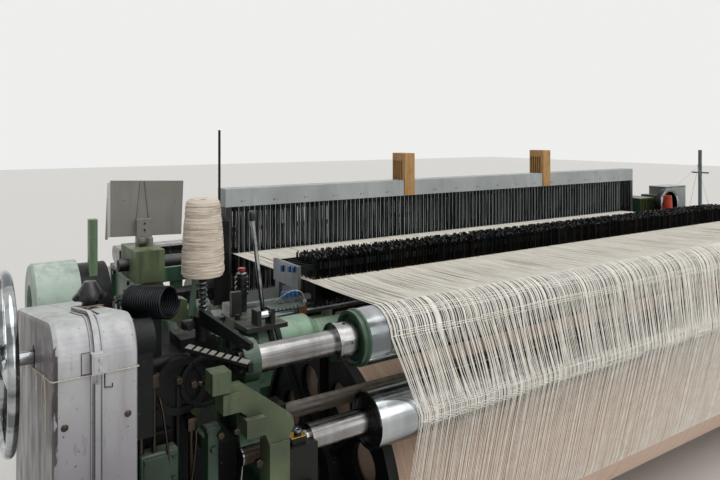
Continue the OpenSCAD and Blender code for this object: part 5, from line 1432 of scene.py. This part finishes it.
@dataclass
class RearCastings:
    """What crowds the corner behind the guard: covers, rods, oil pipes, brackets and their bolts."""

    bearing_at: tuple[float, float] = (-1828.0, 1010.0)
    case_face: float = -785.0
    box_face: float = -815.0
    button_at: tuple[float, float] = (-1618.0, -500.0)
    lever_foot: Corner = (-1618.0, -650.0, 1104.0)
    lever_lean: Corner = (-0.12187, 0.0, 0.99255)

    def cover(self) -> None:
        """The round bearing cover, its bolts and the ribs of the gear case."""
        shape = Shape()
        x0, z0 = self.bearing_at
        shape.lathe([(50.5, 772.0), (50.5, 782.2), (52.0, 783.4), (61.0, 783.4), (63.0, 782.2), (63.0, 772.0)],
                    mm(x0, 0, z0), -Y_AXIS, 56)
        for k in range(6):
            a = math.radians(60 + 60 * k)
            shape.bolt(mm(x0 + 57 * math.cos(a), -783.2, z0 + 57 * math.sin(a)), -Y_AXIS, 9, 3)
        hub = [(0.0, 748.0), (14.0, 748.0), (16.0, 752.0), (24.0, 752.0), (27.0, 746.0), (27.0, 733.0), (0.0, 733.0)]
        shape.lathe(hub, mm(x0, 0, z0), -Y_AXIS, 36)
        for z in (840, 905, 960):
            shape.block((-2026, -775.5, z), (-1908, -760.5, z + 9), 2.0, 2)
        for x in (-2018, -1898):
            shape.block((x, -779, 812), (x + 11, -760.5, 1010), 2.5, 2)
        build("gear_case_cover", shape, CASTING, "frame")
        bolts = Shape()
        bolts.bolts([(x, -760, 1040) for x in (-2000, -1960, -1918)], -Y_AXIS, 15, 8)
        for low, high in ((632, 788), (312, 468)):
            lid = [(x, self.case_face, z) for z in (low, high) for x in (-1998, -1902)]
            bolts.bolts(lid, -Y_AXIS, 12, 6)
        build("gear_case_bolts", bolts, DARK_STEEL, "frame")

    def rods(self) -> None:
        """Brake rods with fork ends, and thin oil pipes that run down the case."""
        shape = Shape()
        rods = ((-1984, -796, 500, 1030, 6.5), (-1956, -802, 640, 1046, 5.0), (-1872, -806, 560, 930, 7.0))
        for x, y, z0, z1, r in rods:
            shape.rod(mm(x, y, z0), mm(x, y, z1), r, sides=14)
            for z in (z0, z1):
                shape.block((x - 11, y - 11, z - 15), (x + 11, y + 11, z + 15), 3.0, 2)
                shape.rod(mm(x, y + 11, z), mm(x, -759, z), 6.0, sides=12)
        build("brake_rods", shape, DARK_STEEL, "frame")
        left = ((-1940, -759, 1000), (-1940, -790, 1004), (-1936, -812, 960), (-1926, -814, 860), (-1912, -806, 760),
                (-1910, -784, 700), (-1912, -772, 690))
        right = ((-1862, -772, 936), (-1860, -812, 930), (-1868, -830, 880), (-1884, -830, 780), (-1890, -812, 700),
                 (-1892, -786, 640))
        pipes = [[mm(*point) for point in pipe] for pipe in (left, right)]
        wire("oil_pipes", pipes, 3.2, DARK_STEEL, "frame", 2, smooth=True)
        cord("caught_yarn", hanging(mm(-1772, -870, 829.6), mm(-10, -7, 0), 300 * MM), 1.1, TWINE)

    def posts(self) -> None:
        """The green box low on the gear case and the post beside it."""
        box = Shape()
        box.block((-1990, -812, 806), (-1902, -772.5, 884), 5.0, 3)
        box.block((-1982, -815, 814), (-1910, -811, 876), 2.0, 2)
        box.bolts([(x, self.box_face, z) for z in (820, 870) for x in (-1977, -1915)], -Y_AXIS, 8, 4)
        build("switch_box", box, DARK_GREEN, "frame")
        post = Shape()
        post.block((-1848, -850, 540), (-1822, -824, 922), 3.0, 2)
        for z in (600, 860):
            post.block((-1848, -826, z), (-1836, -759.6, z + 34), 2.0, 2)
            post.bolt(mm(-1835, -850, z + 17), -Y_AXIS, 14, 7)
        post.block((-1852, -854, 918), (-1818, -820, 928), 2.0, 2)
        build("side_post", post, DARK_GREEN, "frame")

    def arms(self) -> None:
        """Bright top of the notched bar, and the bolts of the casting beside the pedestal."""
        a, b = Vector((-1892, -834, 1116)), Vector((-1783, -930, 1086))
        run = (b - a).normalized()
        side = run.cross(Z_AXIS).normalized()
        up = side.cross(run).normalized()
        turn = Matrix((run, side, up)).transposed().to_4x4()
        bar = Shape()
        stops = [0.0, *(0.12 * k for k in range(1, 8)), 1.0]
        for k, (t0, t1) in enumerate(zip(stops, stops[1:])):
            p, q = a.lerp(b, t0 + (0.02 if k else 0.0)), a.lerp(b, t1 - (0.02 if t1 < 1 else 0.0))
            size = Vector(((q - p).length, 25.4, 0.9)) * MM
            place = Matrix.Translation(((p + q) / 2 + up * 4.1) * MM) @ turn @ Matrix.Diagonal((*size, 1))
            bmesh.ops.create_cube(bar.bm, size=1.0, matrix=place)
        build("notched_bar_top", bar, SHEET, "back_rest")
        bolts = Shape()
        bolts.bolts([(-1858, -952, 956), (-1822, -952, 956)], -Y_AXIS, 13, 7)
        bolts.bolts([(-1938, -921, 1080), (-1906, -921, 1066)], -Y_AXIS, 14, 7)
        bolts.bolts([(-1760, -931, 862)], -Y_AXIS, 17, 9)
        bolts.bolts([(-1880, -895, 1050.5)], Z_AXIS, 13, 6)
        bolts.bolts([(-1700, -555, 1079.4), (-1592, -570, 1079.4)], Z_AXIS, 17, 9)
        bolts.bolts([(-1885, -430, 1285)], Z_AXIS, 19, 9)
        build("bracket_bolts", bolts, DARK_STEEL, "frame")

    def stop_switch(self) -> None:
        """Black discs and a bright cap under the red button, and the dark cap on the hand lever."""
        discs = Shape()
        profile = [(15.3, 1080.0)]
        for k in range(4):
            z = 1128 + 15 * k
            profile += [(15.5, z), (20.0, z + 1.5), (20.0, z + 8.0), (15.5, z + 9.5)]
        profile += [(15.3, 1189.5), (6.4, 1189.8)]
        post = mm(*self.button_at, 0)
        discs.lathe(profile, post, Z_AXIS, 32)
        build("switch_discs", discs, BLACK_PLASTIC, "frame")
        cap = Shape()
        rim = [(7.0, 1190.1), (13.6, 1190.1), (14.0, 1190.8), (13.4, 1192.2), (7.0, 1192.6)]
        cap.lathe(rim, post, Z_AXIS, 32)
        build("switch_collar", cap, CHROME, "frame")
        grip = Shape()
        end = [(6.2, 262.0), (8.2, 263.0), (9.4, 270.0), (9.6, 280.0), (8.0, 287.0), (4.0, 290.2), (0.0, 290.8)]
        grip.lathe(end, mm(*self.lever_foot), Vector(self.lever_lean), 24)
        build("lever_cap", grip, BLACK_PLASTIC, "lever")

    def stop_clutter(self) -> None:
        """The pierced plate, clips, wood block and wire loop at the left end of the warp stop."""
        plate = Shape()
        outline = [(-1536.0, 1050.0)]
        for k in range(9):
            x = -1522 + 13.5 * k
            outline += [(x, 1050), (x, 1057), (x + 5, 1057), (x + 5, 1050)]
        outline += [(-1386, 1050), (-1386, 1074.5), (-1404, 1074.5), (-1410, 1068), (-1528, 1068), (-1536, 1062)]
        place = Matrix.Rotation(math.radians(90), 4, "X") @ Matrix.Translation(mm(0, 0, 457.5))
        plate.plate(outline, 3.0, place)
        plate.block((-1400, -476, 1066), (-1388, -457, 1075.5), 0.5)
        build("stop_notched_plate", plate, ALUMINIUM, "frame")
        clips = Shape()
        for k in range(4):
            x = -1420 - 15 * k
            clips.block((x - 5, -474, 1090.2), (x + 5, -458, 1106 + 3 * (k % 2)), 1.2)
        for k in (0, 1, 3):
            clips.block((-1425.5, -452 + 26 * k, 1160 - 4 * k), (-1418.4, -441 + 26 * k, 1178 - 3 * k), 1.0)
        build("stop_clips", clips, BLUE_PLASTIC, "frame")
        wood = Shape()
        wood.block((-1404, -456, 1010), (-1376, -424, 1054), 1.5, 2)
        build("wood_spacer", wood, OLD_WOOD, "frame")
        caught = arched(mm(-1500, -476.4, 1083), mm(-1396, -480.2, 1062), mm(0, -45, 50))
        cord("caught_end", caught, 1.2, TWINE)

    def make(self) -> None:
        """Builds the corner's parts."""
        self.cover()
        self.rods()
        self.posts()
        self.arms()
        self.stop_switch()
        self.stop_clutter()


@dataclass
class RollerEnds:
    """Threads, shims, bolts and end discs where the two back rollers are carried."""

    thread_at: float = 1692.0
    cap_at: float = 1645.0
    disc_at: float = 1414.7
    collar_at: float = 1486.0

    def make(self) -> None:
        """Builds the ends of both rollers."""
        thread, shims, rings, holes, discs, grubs = (Shape() for _ in range(6))
        for side in (-1, 1):
            profile = [(20.1, 0.0)]
            for k in range(20):
                profile += [(20.2, 1.0 + 4 * k), (21.3, 2.6 + 4 * k), (21.3, 3.4 + 4 * k), (20.2, 5.0 + 4 * k)]
            profile.append((20.1, 83.0))
            thread.lathe(profile, mm(side * self.thread_at, LOWER.y, LOWER.z), X_AXIS * side, 32)
            x0, x1 = sorted((side * 1628, side * 1668))
            shims.block((x0, LOWER.y - 45, 880.3), (x1, LOWER.y - 12, 881.4), 0.4)
            for y in (LOWER.y - 31, LOWER.y + 31):
                ring = [(5.6, 889.2), (9.3, 889.2), (9.6, 890.6), (9.0, 893.4), (6.4, 894.0), (5.6, 893.0)]
                rings.lathe(ring, mm(side * self.cap_at, y, 0), Z_AXIS, 28)
                holes.rod(mm(side * self.cap_at, y, 889.2), mm(side * self.cap_at, y, 890.6), 5.8, sides=6)
            disc = [(33.0, 0.0), (34.0, -1.2), (67.5, -1.2), (68.6, 0.0), (67.5, 0.4), (34.0, 0.4)]
            discs.lathe(disc, mm(side * self.disc_at, LOWER.y, LOWER.z), X_AXIS * -side, 56)
            for k in range(4):
                a = math.radians(45 + 90 * k)
                discs.rod(mm(side * 1415.6, LOWER.y + 52 * math.cos(a), LOWER.z + 52 * math.sin(a)),
                          mm(side * 1418.6, LOWER.y + 52 * math.cos(a), LOWER.z + 52 * math.sin(a)), 5.5, sides=6)
            for k in range(3):
                a = math.radians(100 + 120 * k)
                hole, face = (mm(side * self.collar_at, UPPER.y + r * math.cos(a), UPPER.z + r * math.sin(a))
                              for r in (45.6, 48.0))
                grubs.rod(hole, face, 4.4, sides=12)
        build("shaft_thread", thread, DARK_STEEL, "frame")
        build("cap_shims", shims, BRASS, "frame")
        build("cap_bolt_rings", rings, WORN_STEEL_AND_GLINTS, "frame")
        build("cap_bolt_sockets", holes, BLACK_PLASTIC, "frame")
        build("lower_roller_discs", discs, BLACK, "lower_roll")
        build("collar_screws", grubs, DARK_STEEL, "back_rest")


@dataclass
class WeftSide:
    """The weft feeder, its cabinet, the guide combs and the yarn packages on the creel."""

    packages_x: float = 2090.0
    packages_y: tuple[float, float] = (45.0, 255.0)
    card_at: Corner = (1657.0, 131.0, 0.0)
    drum_at: Corner = (1752.0, 200.0, 1121.0)
    eye_at: Corner = (2066.0, 150.0, 1380.0)
    comb_teeth: int = 9

    def package(self, shape: Shape, x: float, y: float) -> None:
        """Adds one wound package: crossed courses on a steep cone, standing on the tray.

        Args:
            shape: The shape that it is added to.
            x: Its axis across the loom in millimetres.
            y: Its axis along the loom in millimetres.
        """
        rng = random.Random(int(y))
        profile = [(12.0, 760.6), (76.0, 760.6)]
        for k in range(46):
            t = k / 45
            profile.append((79.2 - 37.6 * t + (0.5 if k % 2 else -0.5) + rng.uniform(-0.2, 0.1), 762.5 + 176 * t))
        profile += [(36.0, 940.5), (12.0, 941.4), (12.0, 760.6)]
        shape.lathe(profile, mm(x, y, 0), Z_AXIS, 48)

    def yarn(self) -> None:
        """Both packages on the creel, and the card tube on its shelf."""
        yarn = Shape()
        for y in self.packages_y:
            self.package(yarn, self.packages_x, y)
        packages = build("weft_yarn_packages", yarn, CONE, "frame", 75)
        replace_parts(packages, "weft_packages")
        card = Shape()
        tube = [(22.0, 1088.4), (30.6, 1088.4), (30.8, 1092.0), (24.9, 1192.6), (23.0, 1193.7), (20.0, 1193.7),
                (22.0, 1088.4)]
        card.lathe(tube, mm(*self.card_at), Z_AXIS, 36)
        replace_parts(build("weft_card_tube", card, ORANGE_CARD, "frame"), "weft_packages")

    def deck(self) -> None:
        """The feeder's bright rim, the guide comb's teeth, and the cabinet's door, louvres and lid."""
        ring = Shape()
        rim = [(90.0, 28.2), (97.0, 31.6), (105.0, 31.6), (106.6, 27.0), (106.6, 20.0), (97.0, 28.2), (90.0, 28.2)]
        ring.lathe(rim, mm(*self.drum_at), -Y_AXIS, 64)
        build("feeder_rim", ring, CHROME, "feeder")
        comb = Shape()
        for k in range(self.comb_teeth):
            x = 1518 + 17 * k
            comb.block((x, 228, 1078), (x + 2.2, 233.7, 1170), 0.4)
        build("weft_comb", comb, BRASS, "frame")
        box = Shape()
        box.block((1804, 226.4, 1094), (2042, 229.8, 1225), 1.5, 2)
        box.block((1794.5, 229.5, 1233.2), (2051.5, 352.5, 1237), 1.2, 2)
        for k in range(6):
            for z in (1104, 1112):
                box.block((1818 + 24 * k, 225.0, z), (1834 + 24 * k, 226.6, z + 3), 0.5)
        build("weft_cabinet_door", box, GREY_BOX, "frame")

    def case_covers(self) -> None:
        """The bolted covers on two faces of the right gear case."""
        case = Shape()
        case.block((1752, -766, 120), (2016, -759.5, 840), 5.0, 3)
        case.bolts([(x, -766, z) for z in (134, 480, 826) for x in (1766, 2002)], -Y_AXIS, 13, 6)
        case.block((2029.6, -700, 160), (2035, -190, 820), 4.0, 3)
        rim = ((-684, 176), (-206, 176), (-684, 804), (-206, 804), (-445, 804), (-445, 176))
        case.bolts([(2035, y, z) for y, z in rim], X_AXIS, 13, 6)
        build("right_case_covers", case, DARK_GREEN, "frame")

    def leads(self) -> None:
        """The yarn eye on the creel's pole, and the two weft yarns that run through it to the feeder."""
        x, y, z = self.eye_at
        eye = [mm(x + 9 * math.cos(a), y, z + 9 * math.sin(a)) for a in (math.tau * k / 20 for k in range(20))]
        wire("lead_eye", [eye], 1.6, BRIGHT, "frame", 2, closed=True)
        wire("lead_eye_stem", [[mm(x + 9, y, z), mm(x + 18, y, z)]], 2.4, BRIGHT, "frame", 2)
        for number, package_y in enumerate(self.packages_y, 1):
            stops = [mm(self.packages_x, package_y, 941.4), mm(x, y, z - 7.6), mm(1806, 194, 1213.6)]
            lead = [p.lerp(q, k / 12) for p, q in zip(stops, stops[1:]) for k in range(12)] + [stops[-1]]
            cord(f"weft_lead_{number}", lead, 0.9, CONE)

    def make(self) -> None:
        """Builds the weft side's parts."""
        self.yarn()
        self.deck()
        self.case_covers()
        self.leads()


@dataclass
class FrameFasteners:
    """Bearing covers, bolts and foot nuts on both side frames."""

    face: float = 1675.0
    feet_x: tuple[float, float] = (1645.0, 1944.0)
    foot_z: float = 18.2
    foot_bolt: float = 57.0
    # each bearing's axis (y, z) and the inner and outer radius of its cover
    bearings: tuple[tuple[float, float, float, float], ...] = (
        (830, 800, 26.0, 50.0), (834.8, 350, 26.0, 50.0), (470, 740, 31.0, 55.0))
    side_bolts: Outline = ((440, 955), (600, 955), (860, 955), (800, 120), (800, 620), (-100, 955), (-420, 955),
                           (440, 200), (-30, 480), (-30, 600), (80, 480), (80, 600))

    def bearing(self, shape: Shape, side: int, y: float, z: float, inner: float, outer: float) -> None:
        """Adds a bearing cover with four bolts to the outer face of a side frame.

        Args:
            shape: The shape that it is added to.
            side: 1 on the right, -1 on the left.
            y: The bearing's axis along the loom in millimetres.
            z: Its height in millimetres.
            inner: Inner radius of the cover in millimetres.
            outer: Its outer radius in millimetres.
        """
        centre = mm(side * self.face, y, z)
        profile = [(inner, -0.5), (inner, 7.0), (outer - 5, 7.5), (outer - 1, 3.0), (outer - 1, -0.5)]
        shape.lathe(profile, centre, X_AXIS * side, 40)
        for k in range(4):
            a = math.radians(45 + 90 * k)
            r = (inner + outer) / 2
            shape.bolt(centre + mm(side * 7.2, r * math.cos(a), r * math.sin(a)), X_AXIS * side, 11, 5)

    def make(self) -> None:
        """Builds the covers and bolts."""
        covers, bolts = Shape(), Shape()
        for side in (-1, 1):
            for y, z, inner, outer in self.bearings:
                self.bearing(covers, side, y, z, inner, outer)
            bolts.bolts([(side * self.face, y, z) for y, z in self.side_bolts], X_AXIS * side, 19, 9)
            for foot_x, ys in zip(self.feet_x, ((-730, 150, 880), (-670, -220))):
                nuts = [(side * foot_x + dx, y, self.foot_z) for y in ys for dx in (-self.foot_bolt, self.foot_bolt)]
                bolts.bolts(nuts, Z_AXIS, 24, 14)
            bolts.bolts([(side * x, 816, 1040.2) for x in (1500, 900, 300)], Z_AXIS, 17, 8)
            bolts.bolts([(side * x, -40.0, 535) for x in (1590, 1400)], -Y_AXIS, 19, 9)
        build("bearing_covers", covers, BLACK, "frame")
        build("frame_bolts", bolts, DARK_STEEL, "frame")


@dataclass
class DriveParts:
    """The motor's fan cowl, terminal box, cable gland and foot bolts."""

    cowl_at: Corner = (-1739.0, -900.0, 300.0)
    cowl_rings: int = 5

    def make(self) -> None:
        """Builds the motor's parts."""
        motor = Shape()
        cowl = [(0.0, 27.0), (60.0, 27.0), (90.0, 22.0), (98.0, 14.0), (98.0, 0.2), (0.0, 0.2)]
        motor.lathe(cowl, mm(*self.cowl_at), X_AXIS, 48)
        for k in range(self.cowl_rings):
            inner, outer = 14.0 + 15 * k, 17.0 + 15 * k
            ring = [(inner, 27.5), (inner, 29.6), (outer, 29.6), (outer, 26.8)]
            motor.lathe(ring, mm(*self.cowl_at), X_AXIS, 40)
        motor.block((-1960, -950, 396), (-1860, -858, 446), 5.0, 3)
        motor.block((-1966, -955, 444), (-1854, -853, 452), 2.5, 2)
        motor.bolts([(x, y, 452) for y in (-944, -864) for x in (-1955, -1865)], Z_AXIS, 8, 4)
        motor.rod(mm(-1910, -950, 420), mm(-1910, -972, 420), 13, 11, 16)
        build("motor_cowl_and_box", motor, DARK_GREEN, "frame")
        feet = Shape()
        feet.bolts([(x, y, 1) for x in (-1975, -1835) for y in (-1006, -794)], Z_AXIS, 19, 10)
        build("motor_foot_bolts", feet, DARK_STEEL, "frame")


# ------------------------------------------------------------------ the scene


NODE_FINISH: dict[str, Finish] = {
    "left_frame": GREEN, "right_frame": GREEN, "main_spar": GREEN, "rear_tube": BROWN_TUBE,
    "breast_beam": BRIGHT, "feet": CASTING, "roller_pedestals": BLACK, "lower_shaft": BRIGHT,
    "lower_roller": CHROME, "back_rest_tube": PALE_GREEN, "back_rest_levers": DARK_GREEN,
    "lever_fittings": CASTING, "upper_shaft": BRIGHT, "upper_roller": CHROME, "roller_end_caps": DARK_GREEN,
    "beam_barrel": CASTING, "beam_flanges": CASTING, "beam_gear": CASTING, "letoff_pinion": DARK_STEEL,
    "letoff_case": GREEN, "drop_wires": HARNESS_STEEL, "stop_rails": WORN_STEEL_AND_GLINTS, "harness_guides": BLACK,
    "heald_frame_1": ALUMINIUM, "heald_frame_2": ALUMINIUM, "heald_frame_3": ALUMINIUM,
    "heald_frame_4": ALUMINIUM, "heald_frame_5": ALUMINIUM, "heald_frame_6": ALUMINIUM,
    "comb_blocks": WOOD, "sley": GREEN, "reed": PLATE, "take_up_roller": PLATE, "press_roller": CASTING,
    "cloth_roll": WOVEN, "guard_left": GUARD, "guard_right": GUARD, "guard_fittings": GUARD,
    "motor": GREEN, "motor_pulley": CASTING, "drive_belts": RUBBER, "handwheel": CHROME, "main_shaft": DARK_STEEL,
    "gear_case": CASTING, "drum_cover": COVER_GREEN, "left_brackets": OLIVE, "shield_plate": SHEET,
    "cone_post": STAND, "hand_lever": CHROME, "stop_button": RED_PLASTIC, "weft_unit": WEFT_GREEN,
    "feeder_drum": BLACK, "weft_packages": CONE, "temples": BRIGHT, "guard_string": TWINE,
    "yarn_cone": CONE, "tension_spring": SPRING, "warp_sheet": WARP, "warp_roll": SHADED_WOUND, "cloth": WOVEN,
}


@dataclass
class Studio:
    """The pale floor, the soft light and the camera at the photograph's angle."""

    camera_at: Corner = (-2.358, -2.25, 1.60)
    forward: Corner = (0.5517, 0.8341, 0.0)
    lens: float = 31.75
    shift_y: float = -0.1472
    # each lamp's name, strength, turn and the angle of its disc
    lamps: tuple[tuple[str, float, Corner, float], ...] = (
        ("ceiling_light", 2.0, (0.28, 0.05, 0.0), 60.0), ("side_light", 0.7, (1.05, 0.0, 0.30), 45.0))
    hall: str = "#f4f4f2"
    hall_fill: float = 0.20
    hall_seen: float = 0.95
    ground: str = "#dcdad6"

    def camera(self) -> None:
        """Creates the camera and sets it."""
        data = bpy.data.cameras.new("loom_camera")
        data.lens, data.sensor_width, data.shift_y = self.lens, 36.0, self.shift_y
        data.clip_start, data.clip_end = 0.02, 100.0
        eye = bpy.data.objects.new("loom_camera", data)
        eye.location = self.camera_at
        eye.rotation_euler = Vector(self.forward).to_track_quat("-Z", "Y").to_euler()
        bpy.context.scene.collection.objects.link(eye)
        bpy.context.scene.camera = eye

    def light(self) -> None:
        """Soft light from above, as in a hall lit by rows of tubes, and an even pale world."""
        for name, strength, turn, disc in self.lamps:
            lamp = bpy.data.lights.new(name, "SUN")
            lamp.energy, lamp.angle = strength, math.radians(disc)
            stand = bpy.data.objects.new(name, lamp)
            stand.rotation_euler = turn
            bpy.context.scene.collection.objects.link(stand)
        world = bpy.data.worlds.new("pale_world")
        world.use_nodes = True
        bpy.context.scene.world = world
        tree = world.node_tree
        back = tree.nodes["Background"]
        back.inputs["Color"].default_value = linear(self.hall)
        # what the camera sees or a surface mirrors is bright; the light that it sheds is weaker
        rays = add(tree, "ShaderNodeLightPath").outputs
        seen = rays["Is Camera Ray"]
        for ray in ("Is Glossy Ray", "Is Transmission Ray"):
            seen = add(tree, "ShaderNodeMath", {"operation": "MAXIMUM"}, {0: seen, 1: rays[ray]}).outputs[0]
        strength = add(tree, "ShaderNodeMapRange", {3: self.hall_fill, 4: self.hall_seen}, {0: seen}).outputs[0]
        tree.links.new(strength, back.inputs["Strength"])
        bpy.context.scene.view_settings.view_transform = "Standard"

    def floor(self) -> None:
        """A plain pale floor."""
        mesh = bpy.data.meshes.new("floor")
        bm = bmesh.new()
        bmesh.ops.create_grid(bm, x_segments=1, y_segments=1, size=30.0)
        bm.to_mesh(mesh)
        bm.free()
        ground = bpy.data.objects.new("floor", mesh)
        bpy.context.scene.collection.objects.link(ground)
        pale = bpy.data.materials.new("pale studio floor")
        pale.use_nodes = True
        shader = pale.node_tree.nodes["Principled BSDF"]
        shader.inputs["Base Color"].default_value = linear(self.ground)
        shader.inputs["Roughness"].default_value = 0.85
        mesh.materials.append(pale)


def main() -> None:
    """Builds the sub-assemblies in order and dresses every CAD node."""
    logging.basicConfig(level=logging.INFO, format="%(message)s")
    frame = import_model()
    studio = Studio()
    studio.camera()
    for name, finish in NODE_FINISH.items():
        if name in frame["nodes"]:
            dress(frame["nodes"][name], finish)
    for assembly in (WarpYarns(), ClothSide(), Harness(), ConeAndSpring(), DriveGuard(), RearCastings(), RollerEnds(),
                     WeftSide(), FrameFasteners(), DriveParts()):
        assembly.make()
    studio.light()
    studio.floor()


if __name__ == "__main__":
    main()
